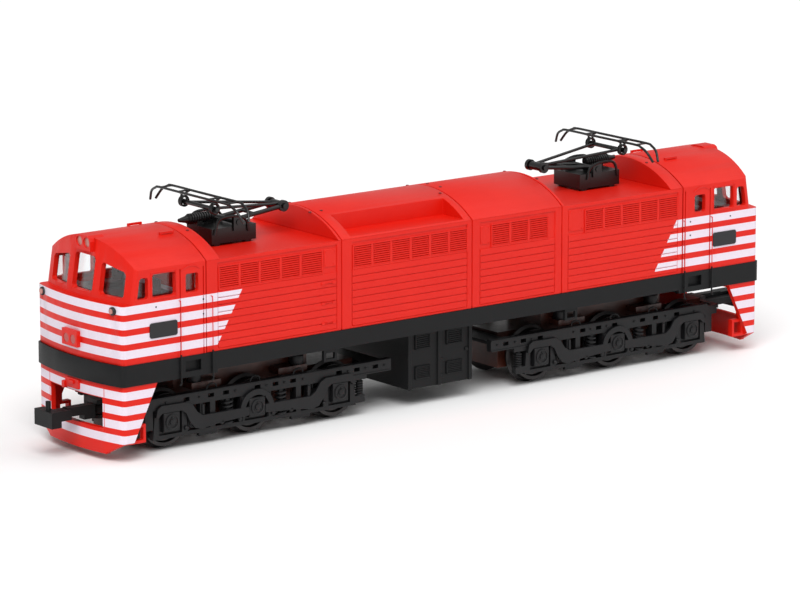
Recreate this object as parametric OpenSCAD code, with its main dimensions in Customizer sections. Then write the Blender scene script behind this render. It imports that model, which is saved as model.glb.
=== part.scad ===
/* [Body] */
// width of the body over its side walls
body_w = 33; // [27:0.5:40]
// height of the eaves above the rail
eave_z = 42.1; // [36:0.1:51]
// rise of the roof arch above the eaves
roof_rise = 5.5; // [3:0.1:8]
// distance from the centre to each seam between hood and cab
seam_x = 69.6; // [60:0.1:76]
// distance from the centre to the nose corner
nose_x = 92.6; // [86:0.1:98]
// how far the nose bows out in the middle
nose_bow = 2.2; // [0.5:0.1:4]
// how far both cabs sit towards +X, off the middle of the hood
cab_shift = 0.8; // [0:0.1:1]
// thickness of the body walls
wall = 1.2; // [0.8:0.05:2]
// height of the ledge on top of the nose
ledge_z = 34.6; // [30:0.1:38]
// depth of that ledge in front of the windscreens
ledge_d = 2.3; // [1.5:0.1:5]
// backward lean of the windscreens from foot to eaves
rake = 1.2; // [0:0.1:2]
// edge radius of the body
edge_r = 1.1; // [0.5:0.1:2.5]
// gap between body pieces that meet at a seam
gap = 0.15; // [0.05:0.05:0.3]

/* [Cab windows] */
// height of the window sills above the nose ledge
sill_h = 1; // [0.6:0.1:3]
// height of the cab side windows
win_h = 5.2; // [3:0.1:6]
// height of the centre windscreen
screen_h = 7.9; // [5:0.1:8.4]
// height of an outer windscreen at its inner edge
screen_in_h = 7.1; // [5:0.1:8]
// height of an outer windscreen at its outer edge
screen_out_h = 5.7; // [4:0.1:6.5]
// width of the centre windscreen
pane_w = 7.8; // [5:0.1:9]
// width of each outer windscreen
side_pane_w = 7.7; // [5:0.1:8]
// width of the pillars beside the centre windscreen
pillar_w = 2.3; // [1.5:0.1:4]
// length of the main side window
side_win = 6.2; // [3:0.1:7]
// length of the door window
door_win = 3.4; // [2:0.1:4]
// length of the quarter window
quarter_win = 2.5; // [1:0.1:3]
// thickness of the glazing
glass_t = 0.6; // [0.4:0.1:1]
// distance from the seam to the middle of the door window
door_win_in = 4.6; // [4:0.1:6]
// distance from the nose corner back to the middle of the side window
side_win_back = 10.9; // [10:0.1:13]
// distance from the nose corner back to the middle of the quarter window
quarter_back = 5.4; // [5:0.1:7]

/* [Side panels] */
// width of the seam and door grooves
groove_w = 0.3; // [0.1:0.05:0.6]
// depth of those grooves
groove_d = 0.35; // [0.1:0.05:0.6]
// distance of the first hood seam left of the centre
seam_1 = 32.2; // [28:0.1:36]
// distance of the middle hood seam right of the centre
seam_2 = 5.4; // [2:0.1:9]
// depth of the sunk side panels
panel_d = 0.25; // [0.1:0.05:0.5]
// further depth of the louvre openings
louvre_d = 0.3; // [0.1:0.05:0.5]
// height of the louvre openings
louvre_h = 4.9; // [3:0.1:6]
// distance from the eaves down to the louvre openings
louvre_drop = 2; // [1.5:0.1:4]

/* [Cab details] */
// width of each cab door, from the seam
door_w = 7.8; // [6:0.1:9]
// distance from the nose corner back to the middle of the side plate
plate_back = 10.6; // [8:0.1:13]
// length of a side plate
plate_w = 7.4; // [4:0.1:9]
// height of a side plate
plate_h = 3.4; // [2:0.1:5]
// bottom height of a side plate above the sill band
plate_up = 5.2; // [2:0.1:8]
// thickness of a side plate
plate_t = 0.3; // [0.2:0.1:0.6]
// half width of the headlight and nose lamp housings
lamp_y = 2.9; // [2.5:0.1:4]
// height of the nose lamp housing above the sill band
lamp_up = 2.2; // [1:0.1:6]
// height of that housing
lamp_h = 3.6; // [2.6:0.1:5]
// diameter of the marker lamps
marker_d = 1.2; // [0.8:0.1:2]
// height of the cab floor below the window sills
floor_drop = 2; // [1:0.1:4]

/* [Roof] */
// distance from the centre to the inner end of each pantograph deck
deck_in = 33; // [28:0.1:38]
// distance from the centre to the outer end of each deck
deck_out = 65.8; // [60:0.1:68]
// how far the pantograph decks lie below the eaves
deck_drop = 0.1; // [0:0.1:1]
// half width of the raised spine beside the roof troughs
trough_y = 8.5; // [6:0.1:12]
// left end of the roof troughs
trough_x0 = -29.3; // [-30:0.1:-20]
// right end of the roof troughs
trough_x1 = 3.2; // [0:0.1:6]

/* [Underframe] */
// top height of the black sill band
band_top = 21.4; // [20:0.1:24]
// bottom height of the sill band between the cabs
band_bot = 17.4; // [16:0.1:19]
// bottom height of the sill band under the cabs
cab_band_bot = 16.6; // [15:0.1:18]
// how far the band stands out from the body
band_out = 0.25; // [0.1:0.05:0.6]
// lowest height of the pilots
pilot_bot = 0.9; // [0.5:0.1:3]
// half width of the coupler opening in a pilot
pocket_y = 10.1; // [8:0.1:11]
// half length of the equipment box
box_l = 9.4; // [6:0.1:12]
// half width of the equipment box
box_y = 12.5; // [9:0.1:14]
// lowest height of the equipment box
box_z = 3.6; // [2:0.1:8]
// offset of the equipment box from the centre
box_x = -1; // [-4:0.1:4]
// distance from the centre to the middle of each side ladder
ladder_x = 35.3; // [30:0.1:40]
// length of each side ladder
ladder_w = 3.8; // [2:0.1:6]
// half length of the ballast block
ballast_l = 62; // [40:1:66]

/* [Bogies] */
// distance from the centre to each bogie pivot
bogie_x = 53; // [48:0.1:58]
// spacing of neighbouring axles
axle_gap = 23.4; // [19.5:0.1:28.1]
// diameter of the wheel treads
wheel_d = 12; // [10:0.1:14.4]
// depth of the wheel flanges
flange_h = 0.8; // [0.5:0.1:1.2]
// distance between the backs of the wheels
back_gap = 14.4; // [13:0.1:15]
// width of a wheel over tread and flange
wheel_w = 2.8; // [2:0.1:3.2]
// diameter of the axles
axle_d = 2; // [1.5:0.1:3]
// radial play of the axles and pivots
play = 0.05; // [0.02:0.01:0.1]
// distance from the centre line to the inner face of a side frame
frame_y = 10.5; // [10.3:0.1:12]
// thickness of the side frames
frame_t = 1.5; // [1:0.1:2]
// reach of a side frame beyond its outer axle
reach_out = 6.2; // [5:0.1:9]
// reach of a side frame beyond its inner axle
reach_in = 14.9; // [9:0.1:17]
// top height of the side frames
frame_top = 11.7; // [11:0.1:14]
// height of the top rail of a side frame
rail_h = 2.8; // [2:0.1:4]
// diameter of the pivot pins
king_d = 4; // [3:0.1:6]
// half width of the gear housings between the wheels
gear_y = 6.2; // [4:0.1:6.6]
// half size of the square axle boxes
abox = 2.2; // [2:0.1:3]
// distance from the centre axle to each coil spring
spring_u = 7.4; // [6.4:0.1:9]
// diameter of the coil springs
spring_d = 2.2; // [1.6:0.1:2.3]
// top height of the tie bars under the springs
bar_top = 6.3; // [5:0.1:7]
// thickness of the brake beams on the gear housings
wing = 1.4; // [0.8:0.1:2]

/* [Couplers] */
// distance from the centre to the end of each coupler
coupler_x = 102.8; // [98:0.1:110]
// height of the coupler arms
coupler_z = 8.6; // [7:0.1:11]
// distance from the end of a side frame to the coupler pivot
coupler_over = 4.9; // [4:0.1:7]
// diameter of the coupler pivot pins
swing_d = 2; // [1.4:0.1:3]

/* [Pantographs] */
// distance from the centre to the lower arm pivots
panto_root = 52.5; // [48:0.1:58]
// height of the lower arm pivots above the decks
root_rise = 4.9; // [4:0.1:8]
// distance from the centre to the knees
knee_x = 38.1; // [32:0.1:42]
// height of the knees above the lower arm pivots
knee_rise = 1.6; // [0.5:0.1:4]
// distance from the centre to the collector heads
head_x = 59.6; // [56:0.1:64]
// height of the collector head pivots above the knees
head_rise = 2.3; // [1.5:0.1:6]
// half length of the straight part of a collector bar
bar_y = 13.4; // [8:0.1:16]
// half width of the collector head over its horns
horn_y = 18; // [14:0.5:24]
// spacing of the two collector bars
bar_gap = 3.4; // [2:0.1:8]
// diameter of the pantograph tubes
tube_d = 1; // [0.8:0.1:1.6]
// radius of the pivot lugs
lug = 1.3; // [1:0.1:1.6]

/* [Hidden] */
$fn = 48;
half = body_w / 2;
roof_r = (half * half + roof_rise * roof_rise) / (2 * roof_rise);
crown_z = eave_z + roof_rise;
bow_r = (half * half + nose_bow * nose_bow) / (2 * nose_bow);
fascia_x = nose_x - ledge_d;
deck_z = eave_z - deck_drop;
win_bot = ledge_z + sill_h;
win_top = win_bot + win_h;
lamp_z = eave_z + 4.3;
floor_z = win_bot - floor_drop;
door_x = seam_x + door_w;
side_win_x = nose_x - side_win_back;
door_win_x = seam_x + door_win_in;
quarter_x = nose_x - quarter_back;
plate_x = nose_x - plate_back;
plate_bot = band_top + plate_up;
lamp_bot = band_top + lamp_up;
marker_y = half - 2.9;
marker_z = ledge_z - 1.3;
wheel_r = wheel_d / 2;
axle_r = axle_d / 2;
axle_z = wheel_r;
box_out = frame_y + 1.9;
frame_out = axle_gap + reach_out;
frame_in = axle_gap + reach_in;
beam_in = axle_gap + 8.2;
beam_out = frame_out + 2;
gear_top = frame_top + 0.4;
spring_top = frame_top - rail_h;
coupler_pivot = frame_out + coupler_over;
pin_r = swing_d / 2;
swing_z = coupler_z + 1.3;
panto_z = deck_z + root_rise;
knee_z = panto_z + knee_rise;
head_z = knee_z + head_rise;

/* ---- helpers ---- */
// everything is drawn above the rail, then raised by the flange depth
module up() { translate([0, 0, flange_h]) children(); }

// draws its child at the +X end, or mirrored at the -X end
module end(s) { mirror([s < 0 ? 1 : 0, 0, 0]) children(); }

// the same for the parts of a cab, which sit off the middle by cab_shift
module cab_end(s) { translate([cab_shift, 0, 0]) end(s) children(); }

// rear wall of a cab in its own frame
function rear(s) = seam_x + gap - s * cab_shift;

// a box from corner to corner
module block(a, b) { translate(a) cube(b - a); }

// roof section in the YZ plane, raised above height z0, inset by t
module arch2d(z0, t) {
  intersection() {
    translate([0, crown_z - roof_r]) circle(r = roof_r - t, $fn = 160);
    translate([-half + t, z0]) square([body_w - 2 * t, crown_z]);
  }
}

// a YZ section swept along X from x0 to x1
module sweep_x(x0, x1) {
  translate([x0, 0, 0]) rotate([90, 0, 90]) linear_extrude(x1 - x0) children();
}

// plan of the body end: bowed front with round corners, from x0 outwards, inset by t
module end_plan(x0, xc, t) {
  h = half - t;
  b = bow_r - t;
  r = max(edge_r - t, 0.3);
  cx = xc + nose_bow - bow_r;
  rx = cx + sqrt((b - r) * (b - r) - (h - r) * (h - r));
  low = atan2(h - r, rx - cx);
  n = 5;
  side = [for (i = [0 : n]) let (a = 90 - i * (90 - low) / n, q = i < n ? r : r + 0.4)
    [rx + q * cos(a), h - r + q * sin(a)]];
  tip = [xc + nose_bow + 1 - t, side[n][1]];
  intersection() {
    translate([cx, 0]) circle(r = b, $fn = 240);
    polygon(concat([[x0, -h], [x0, h]], side, [tip, [tip[0], -tip[1]]],
      [for (i = [n : -1 : 0]) [side[i][0], -side[i][1]]]));
  }
}

// an upright rounded window prism along Y, centred at x
module side_hole(xc, w, h, z0, y0, y1) {
  translate([xc, y0, z0 + h / 2]) rotate([-90, 0, 0]) linear_extrude(y1 - y0) union() {
    square([w - 1, h], center = true);
    square([w, h - 1], center = true);
    for (i = [-1, 1], j = [-1, 1]) translate([i * (w / 2 - 0.5), j * (h / 2 - 0.5)])
      circle(r = 0.5, $fn = 16);
  }
}

// the quarter window, its front edge leaning with the windscreens
module quarter_hole(y0, y1) {
  w = quarter_win / 2;
  h = win_h - 0.5;
  translate([quarter_x, y1, win_bot]) rotate([90, 0, 0]) linear_extrude(y1 - y0)
    polygon([[-w, 0.3], [0.3 - w, 0], [w + 0.1, 0], [w + 0.4, 0.3], [w - 0.2, h - 0.4], [w - 0.6, h], [0.4 - w, h],
      [-w, h - 0.4]]);
}

// a window prism along X from y0 to y1, h0 high at y0 and h1 high at y1, with cut corners
module front_hole(y0, y1, h0, h1) {
  c = 0.6;
  k = (h1 - h0) / (y1 - y0);
  translate([0, 0, win_bot + 0.1]) sweep_x(fascia_x - 4.5, fascia_x + 6) polygon([
    [y0 + c, 0], [y1 - c, 0], [y1, c], [y1, h1 - c], [y1 - c, h1 - k * c], [y0 + c, h0 + k * c],
    [y0, h0 - c], [y0, c]]);
}

/* ---- body ---- */
// the three hood seams and the four sunk panels between them, as [start, end] along X
function seams() = [-seam_1, seam_2, seam_1];
function panels() = [[-seam_x + 3.1, -seam_1 - 1.3], [-seam_1 + 2.9, seam_2 - 1.4],
                     [seam_2 + 2.3, seam_1 - 2], [seam_1 + 1.9, seam_x - 1.5]];
// the louvre openings in those panels, as [start, end] along X
function louvres() = [[-seam_x + 3.7, -seam_1 - 5.5], [-seam_1 + 3.5, seam_2 - 1.5],
                      [seam_2 + 6, seam_1 - 4.3], [seam_1 + 7.3, seam_x - 1.8]];

// long centre tub: side walls and the flat deck plate
module hood_shell() {
  color([0.9, 0.18, 0.14]) up() difference() {
    block([-seam_x + gap, -half, band_top], [seam_x - gap, half, deck_z]);
    for (m = [0, 1]) mirror([0, m, 0]) {
      for (x = seams()) block([x - groove_w / 2, half - groove_d, band_top - 1],
                              [x + groove_w / 2, half + 1, deck_z + 1]);
      for (p = panels()) block([p[0], half - panel_d, band_top + 0.5], [p[1], half + 1, eave_z - 0.9]);
      for (p = louvres()) block([p[0], half - panel_d - louvre_d, eave_z - louvre_drop - louvre_h],
                                [p[1], half + 1, eave_z - louvre_drop]);
    }
    block([-seam_x + gap + wall, -half + wall, band_top - 1],
          [seam_x - gap - wall, half - wall, deck_z - wall]);
  }
}

// arched roof between the decks, with a trough on each side
module hood_roof() {
  color([0.9, 0.18, 0.14]) up() difference() {
    sweep_x(-deck_in, deck_in) arch2d(deck_z, 0);
    for (s = [-1, 1]) mirror([0, s < 0 ? 1 : 0, 0])
      block([trough_x0, trough_y, deck_z + 0.4], [trough_x1, half + 1, crown_z + 1]);
    for (x = seams()) difference() {
      sweep_x(x - groove_w / 2, x + groove_w / 2) arch2d(deck_z - 1, -1);
      sweep_x(x - groove_w, x + groove_w) arch2d(deck_z - 2, groove_d);
    }
  }
}

// arched end ribs at the outer ends of the decks
module deck_ribs() {
  color([0.88, 0.17, 0.13]) up() for (s = [-1, 1]) end(s) sweep_x(deck_out, seam_x - gap) arch2d(deck_z, 0);
}

// hollow cab with its nose, windscreens and side windows
module cab_shell(s) {
  difference() {
    union() {
      sweep_x(rear(s), fascia_x - 4) union() {
        arch2d(eave_z - 0.01, 0);
        translate([-half, band_top]) square([body_w, eave_z - band_top]);
      }
      intersection() {
        sweep_x(seam_x + 2, fascia_x + 6) union() {
          arch2d(eave_z - 0.01, 0);
          translate([-half, ledge_z - 1]) square([body_w, eave_z - ledge_z + 1]);
        }
        fascia_solid(0);
      }
      translate([0, 0, band_top]) linear_extrude(ledge_z - band_top) end_plan(seam_x + 2, nose_x, 0);
    }
    // room inside, with an arched ceiling
    sweep_x(rear(s) + wall, fascia_x - 4.5) room2d();
    intersection() {
      sweep_x(seam_x + 3, fascia_x + 6) room2d();
      fascia_solid(wall);
    }
    translate([0, 0, band_top - 1]) linear_extrude(ledge_z - wall - band_top + 1)
      end_plan(seam_x + 3, nose_x, wall);
    cab_window_cuts(s);
    headlight_seat();
    nose_lamp_seat();
    for (y = [-marker_y, marker_y]) translate([nose_x - 3, y, marker_z]) rotate([0, 90, 0])
      cylinder(d = marker_d, h = 9);
  }
}

// section of the room inside a cab
module room2d(inner = wall) {
  arch2d(eave_z - 0.6, inner);
  translate([inner - half, band_top - 1]) square([body_w - 2 * inner, eave_z - band_top + 0.5]);
}

// blocks that the headlight housing and the nose lamp fill
module headlight_seat() {
  w = lamp_y;
  sweep_x(fascia_x - 2.5, fascia_x + 1.5) polygon([[-w, lamp_z - 1.9], [w, lamp_z - 1.9], [w, lamp_z + 0.3],
    [w - 0.4, lamp_z + 1.1], [w - 1.2, lamp_z + 1.5], [1.2 - w, lamp_z + 1.5], [0.4 - w, lamp_z + 1.1],
    [-w, lamp_z + 0.3]]);
}
module nose_lamp_seat() {
  block([nose_x + nose_bow - wall - 0.3, -lamp_y, lamp_bot],
        [nose_x + nose_bow + 0.9, lamp_y, lamp_bot + lamp_h]);
}

// leaning windscreen block: a stack of bowed plans, each a little further back
module fascia_solid(t) {
  translate([fascia_x, 0, ledge_z]) rotate([0, -atan(rake / (eave_z - ledge_z)), 0])
    translate([-fascia_x, 0, -3]) linear_extrude(crown_z - ledge_z + 6)
      end_plan(seam_x + 1, fascia_x, t);
}

// window openings of one cab
module cab_window_cuts(s) {
  front_hole(-pane_w / 2, pane_w / 2, screen_h, screen_h);
  for (m = [0, 1]) mirror([0, m, 0])
    front_hole(pane_w / 2 + pillar_w, pane_w / 2 + pillar_w + side_pane_w, screen_in_h, screen_out_h);
  for (m = [0, 1], x = [door_x, rear(s) + 0.6]) mirror([0, m, 0])
    block([x - groove_w / 2, half - groove_d, band_top - 1], [x + groove_w / 2, half + 1, eave_z - 1]);
  for (y = [-half - 1, half - wall - 0.5]) {
    side_hole(side_win_x, side_win, win_h, win_bot, y, y + wall + 1.5);
    side_hole(door_win_x, door_win, win_h - 1, win_bot, y, y + wall + 1.5);
    quarter_hole(y, y + wall + 1.5);
  }
}

module cab_a_shell() { color([0.9, 0.18, 0.14]) up() cab_end(-1) cab_shell(-1); }
module cab_b_shell() { color([0.9, 0.18, 0.14]) up() cab_end(1) cab_shell(1); }

// glazing: one strip behind each side's windows and one curved strip behind the windscreens
module cab_glass(s) {
  for (m = [0, 1]) mirror([0, m, 0]) intersection() {
    block([rear(s) + wall + 0.6, half - wall - glass_t, win_bot - 0.8],
          [fascia_x, half - wall, win_top + 0.8]);
    fascia_solid(wall + 0.05);
  }
  intersection() {
    sweep_x(seam_x + 3, fascia_x + 6) room2d(wall + 0.2);
    difference() {
      fascia_solid(wall + 0.05);
      fascia_solid(wall + glass_t);
      block([seam_x, -half, ledge_z - 3], [fascia_x - 3, half, crown_z + 5]);
    }
    block([seam_x, -half + wall + glass_t + 0.6, win_bot - 0.9],
          [fascia_x + 6, half - wall - glass_t - 0.6, win_bot + screen_h + 0.6]);
  }
}
module cab_a_glass() { color([0.6, 0.65, 0.7, 0.5]) up() cab_end(-1) cab_glass(-1); }
module cab_b_glass() { color([0.6, 0.65, 0.7, 0.5]) up() cab_end(1) cab_glass(1); }

// floor, desk and rear bulkhead seen through the windows
module cab_interior(s) {
  block([rear(s) + wall, -half + wall, floor_z - 0.6], [fascia_x - 0.7 - wall, half - wall, floor_z]);
  block([fascia_x - 5, -half + wall + 2, floor_z], [fascia_x - 2, half - wall - 2, floor_z + 1.4]);
  for (y = [-7, 7]) {
    translate([door_x + 2.1, y, floor_z]) block([-1.6, -1.8, 0], [1.6, 1.8, 1.4]);
    translate([door_x + 0.2, y, floor_z]) block([-0.4, -1.8, 0], [0.4, 1.8, 4]);
  }
}
module cab_a_interior() { color([0.35, 0.3, 0.32]) up() cab_end(-1) cab_interior(-1); }
module cab_b_interior() { color([0.35, 0.3, 0.32]) up() cab_end(1) cab_interior(1); }

// twin headlight housing on the roof front
module headlight() {
  difference() {
    headlight_seat();
    for (y = [-1.4, 1.4]) translate([fascia_x + 0.3, y, lamp_z]) rotate([0, 90, 0])
      cylinder(r = 1.15, h = 3);
  }
}
module headlights() { color([0.9, 0.18, 0.14]) up() for (s = [-1, 1]) cab_end(s) headlight(); }
module headlight_lenses() {
  color([0.9, 0.9, 0.85]) up() for (s = [-1, 1], y = [-1.4, 1.4])
    cab_end(s) translate([fascia_x + 0.3, y, lamp_z]) rotate([0, 90, 0]) cylinder(r = 1.15, h = 0.8);
}

// twin lamp with a hood on the nose
module nose_lamps() {
  color([0.9, 0.18, 0.14]) up() for (s = [-1, 1]) cab_end(s) difference() {
    nose_lamp_seat();
    for (y = [-1.3, 1.3]) translate([nose_x + nose_bow + 0.3, y, lamp_bot + 1.6])
      rotate([0, 90, 0]) cylinder(r = 1.05, h = 3);
  }
}
module nose_lamp_lenses() {
  color([0.9, 0.9, 0.85]) up() for (s = [-1, 1], y = [-1.3, 1.3])
    cab_end(s) translate([nose_x + nose_bow + 0.3, y, lamp_bot + 1.6]) rotate([0, 90, 0])
      cylinder(r = 1.05, h = 0.5);
}

// small marker lamps on the nose corners
module marker_lamps() {
  color([0.85, 0.2, 0.15]) up() for (s = [-1, 1], y = [-marker_y, marker_y])
    cab_end(s) translate([nose_x - 0.6, y, marker_z]) rotate([0, 90, 0]) cylinder(d = marker_d, h = 2);
}

// blank plates under the side windows
module number_plates() {
  color([0.1, 0.1, 0.12]) up() for (s = [-1, 1], y = [-half - plate_t, half])
    cab_end(s) block([plate_x - plate_w / 2, y, plate_bot],
                 [plate_x + plate_w / 2, y + plate_t, plate_bot + plate_h]);
}

// grab irons on each cab roof
module roof_fittings() {
  color([0.85, 0.16, 0.12]) up() for (s = [-1, 1], m = [0, 1]) cab_end(s) mirror([0, m, 0])
    translate([seam_x + 2.2, 0, 0]) difference() {
      union() {
        for (x = [0, 3.3]) block([x, 5.9, crown_z - 1.2], [x + 0.5, 6.4, crown_z - 0.2]);
        block([0, 5.9, crown_z - 0.6], [3.8, 6.4, crown_z - 0.1]);
      }
      sweep_x(-1, 5) arch2d(eave_z - 1, 0);
    }
}

/* ---- underframe ---- */
// solid black floor whose edge shows as the sill band, with a step slot by each door
module underframe() {
  color([0.17, 0.18, 0.19]) up() difference() {
    union() {
      for (s = [-1, 1]) cab_end(s) translate([0, 0, cab_band_bot]) linear_extrude(band_top - cab_band_bot)
        band_plan();
      block([-seam_x, -half - band_out, band_bot], [seam_x, half + band_out, band_top]);
    }
    for (s = [-1, 1], y = [-half - 1, half - 0.8]) end(s)
      block([seam_x + 1.7, y, band_bot + 0.5], [seam_x + 5.9, y + 1.8, band_top - 1.1]);
  }
}

// plan of the band round one end
module band_plan() {
  end_plan(seam_x - 2, nose_x + band_out, -band_out);
}

// motor and ballast, one plain block in the hood
module ballast_block() {
  color([0.4, 0.4, 0.42]) up()
    block([-ballast_l, -half + 3.5, band_top], [ballast_l, half - 3.5, deck_z - 4]);
}

// box slung between the bogies
module equipment_box() {
  color([0.2, 0.2, 0.21]) up() translate([box_x, 0, 0]) union() {
    block([-box_l, -box_y, box_z], [box_l, box_y, band_bot]);
    for (s = [-1, 1], x = [-box_l, -0.7, box_l - 1])
      block([x, s * box_y - 0.4, box_z], [x + 1, s * box_y + 0.4, band_bot]);
  }
}

// pilot: bowed apron with side cheeks, open for the coupler
module pilot() {
  difference() {
    intersection() {
      translate([0, 0, pilot_bot]) linear_extrude(cab_band_bot - pilot_bot)
        end_plan(nose_x - 12, nose_x, 0);
      rotate([90, 0, 0]) translate([0, 0, -half - 1]) linear_extrude(body_w + 2)
        polygon([[nose_x - 8.9, cab_band_bot], [nose_x - 2.7, pilot_bot + 3.1], [nose_x - 2.2, pilot_bot],
          [nose_x + 9, pilot_bot], [nose_x + 9, cab_band_bot]]);
      sweep_x(nose_x - 12, nose_x + 9) polygon([[-half - 1, cab_band_bot], [-half - 1, pilot_bot + 3],
        [-half, pilot_bot + 3], [-half + 5.5, pilot_bot + 0.2], [-half + 5.5, pilot_bot],
        [half - 5.5, pilot_bot], [half - 5.5, pilot_bot + 0.2], [half, pilot_bot + 3],
        [half + 1, pilot_bot + 3], [half + 1, cab_band_bot]]);
    }
    translate([0, 0, pilot_bot - 1]) linear_extrude(cab_band_bot - pilot_bot + 0.2)
      end_plan(seam_x, nose_x, wall);
    block([nose_x - 4, -pocket_y, coupler_z - 2], [nose_x + 9, pocket_y, coupler_z + 4.8]);
  }
}
module pilot_a() { color([0.9, 0.18, 0.14]) up() cab_end(-1) pilot(); }
module pilot_b() { color([0.9, 0.18, 0.14]) up() cab_end(1) pilot(); }

// open box steps behind each pilot cheek
module footsteps() {
  color([0.75, 0.1, 0.1]) up() for (s = [-1, 1], m = [0, 1]) cab_end(s) mirror([0, m, 0])
    translate([nose_x, half, pilot_bot]) difference() {
      union() {
        block([-6.5, -wall - 1.4, 2.3], [-2.1, -wall, 6.5]);
        block([-4.1, -wall - 1.4, 6.4], [-2.1, -wall, cab_band_bot - pilot_bot - 0.8]);
      }
      block([-5.8, -wall - 2, 3], [-3.6, 0, 5.8]);
    }
}

// door handrails
module handrail(x) {
  translate([x, half + 0.6, cab_band_bot - 1.4])
    cylinder(d = 0.5, h = ledge_z - cab_band_bot + 1.2, $fn = 16);
  translate([x, half + band_out, band_bot + 1]) rotate([-90, 0, 0]) cylinder(d = 0.4, h = 0.4, $fn = 16);
  translate([x, half, ledge_z - 1]) rotate([-90, 0, 0]) cylinder(d = 0.4, h = 0.6, $fn = 16);
}
module handrails() {
  color([0.15, 0.15, 0.16]) up() for (s = [-1, 1], m = [0, 1]) mirror([0, m, 0]) {
    end(s) handrail(seam_x + 0.3);
    cab_end(s) handrail(door_x + 0.3);
  }
}

// short hanging steps in the middle of each side
module side_ladders() {
  color([0.18, 0.18, 0.19]) up() for (s = [-1, 1], m = [0, 1]) end(s) mirror([0, m, 0])
    translate([ladder_x, half, band_bot]) difference() {
      block([-ladder_w / 2, -0.9, -2.8], [ladder_w / 2, -0.1, 0]);
      block([-ladder_w / 2 + 0.7, -2, -2.2], [ladder_w / 2 - 0.7, 1, -0.8]);
    }
}

// pivot pins under the underframe
module king_pins() {
  color([0.5, 0.5, 0.52]) up() for (s = [-1, 1]) end(s)
    translate([bogie_x, 0, gear_top + 0.6]) cylinder(d = king_d, h = band_bot - gear_top - 0.6);
}

/* ---- bogies, drawn at the +X end with u running outwards from the pivot ---- */
// side view of one side frame: slotted top rail, pedestals, posts and bottom rail
module frame_side() {
  g = axle_gap;
  z = spring_top;
  difference() {
    union() {
      polygon([[-frame_in, z], [-frame_in, frame_top], [frame_out - 1, frame_top],
               [frame_out, frame_top - 1.2], [frame_out, z]]);
      for (i = [-1, 0, 1]) polygon([[i * g - 4.7, 2.2], [i * g + 4.7, 2.2],
        [i * g + 4, frame_top - 1], [i * g - 4, frame_top - 1]]);
      for (m = [0, 1]) mirror([m, 0]) {
        translate([0, 2.2]) square([g, 0.9]);
        for (u = [g - 12.2, g - 8.9]) translate([u, 2.4]) square([u < g - 10 ? 1.4 : 0.8, z - 2]);
      }
      translate([-g - 7.4, 2.6]) square([4, 1.6]);
      translate([-frame_in + 7, z - 1]) square([6, 2]);
    }
    for (x = [-33.8, -28.5, -23.4, -10.4, -5.5, -0.5, 8.2, 12.3, 19])
      translate([x, frame_top - 1.35]) square([1.6, 0.9], center = true);
  }
}

module bogie_frame() {
  for (m = [0, 1]) mirror([0, m, 0]) translate([bogie_x, 0, 0]) difference() {
    union() {
      difference() {
        translate([0, frame_y + frame_t, 0]) rotate([90, 0, 0]) linear_extrude(frame_t) frame_side();
        for (i = [-1, 0, 1]) translate([i * axle_gap, frame_y, 0])
          block([-3.1, frame_t - 0.7, 3.1], [3.1, frame_t + 1, spring_top - 0.1]);
      }
      for (i = [-1, 0, 1]) translate([i * axle_gap, frame_y, axle_z])
        block([-abox, 0, -abox], [abox, box_out - frame_y, abox]);
    }
    for (i = [-1, 0, 1]) translate([i * axle_gap, frame_y - 1, axle_z]) rotate([-90, 0, 0])
      cylinder(r = axle_r + play, h = 2.2);
  }
  for (x = [-beam_in - 1.6, beam_out]) translate([bogie_x, 0, 0])
    block([x, -frame_y - 0.5, x < 0 ? frame_top - 2.9 : swing_z], [x + 1.6, frame_y + 0.5, frame_top - 0.8]);
  for (m = [0, 1]) mirror([0, m, 0]) translate([bogie_x, 0, 0])
    block([frame_out - 1.5, frame_y, spring_top], [beam_out + 0.2, frame_y + frame_t, frame_top - 0.8]);
  translate([bogie_x, 0, 0]) {
    block([-frame_in + 0.8, -frame_y - 0.5, frame_top - 1.4], [-beam_in - 0.4, frame_y + 0.5, frame_top - 0.6]);
    block([beam_out + 0.4, -2.6, swing_z], [coupler_pivot + 2, 2.6, frame_top - 0.8]);
    translate([coupler_pivot, 0, coupler_z - 1.6]) cylinder(r = pin_r, h = swing_z - coupler_z + 1.8);
    translate([coupler_pivot, 0, coupler_z - 2.2]) cylinder(r = pin_r + 0.7, h = 0.8);
  }
}

module bogie_gearbox() {
  translate([bogie_x, 0, 0]) difference() {
    union() {
      block([-beam_in, -gear_y, 3.2], [beam_out, gear_y, frame_top]);
      block([-18.5, -gear_y, frame_top - 0.5], [18.5, gear_y, frame_top + 4.5]);
      for (x = [-16, 8]) block([x, -frame_y + 0.7, frame_top], [x + 8, frame_y - 0.7, frame_top + wing]);
    }
    for (i = [-1, 0, 1]) translate([i * axle_gap, -20, axle_z]) rotate([-90, 0, 0])
      cylinder(r = axle_r + 0.3, h = 40);
    translate([0, 0, gear_top + 0.3]) cylinder(r = king_d / 2 + play, h = 10);
  }
}

// equalizer bars running along the outside of a side frame, cut round the axle boxes
module bogie_equalizers() {
  for (m = [0, 1]) mirror([0, m, 0]) translate([bogie_x, frame_y + frame_t + 0.7, 0]) rotate([90, 0, 0])
    linear_extrude(0.7) difference() {
      union() {
        centre_hoop();
        for (n = [0, 1]) mirror([n, 0]) swan_bar();
      }
      for (i = [-1, 0, 1]) translate([i * axle_gap - abox, axle_z - abox]) square(2 * abox);
    }
}

// arched strap over the centre axle box
module centre_hoop() {
  difference() {
    translate([0, axle_z - 0.6]) circle(r = 4.7);
    translate([0, axle_z - 0.6]) circle(r = 3.3);
    translate([-6, -6]) square([12, bar_top + 5.8]);
  }
}

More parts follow.
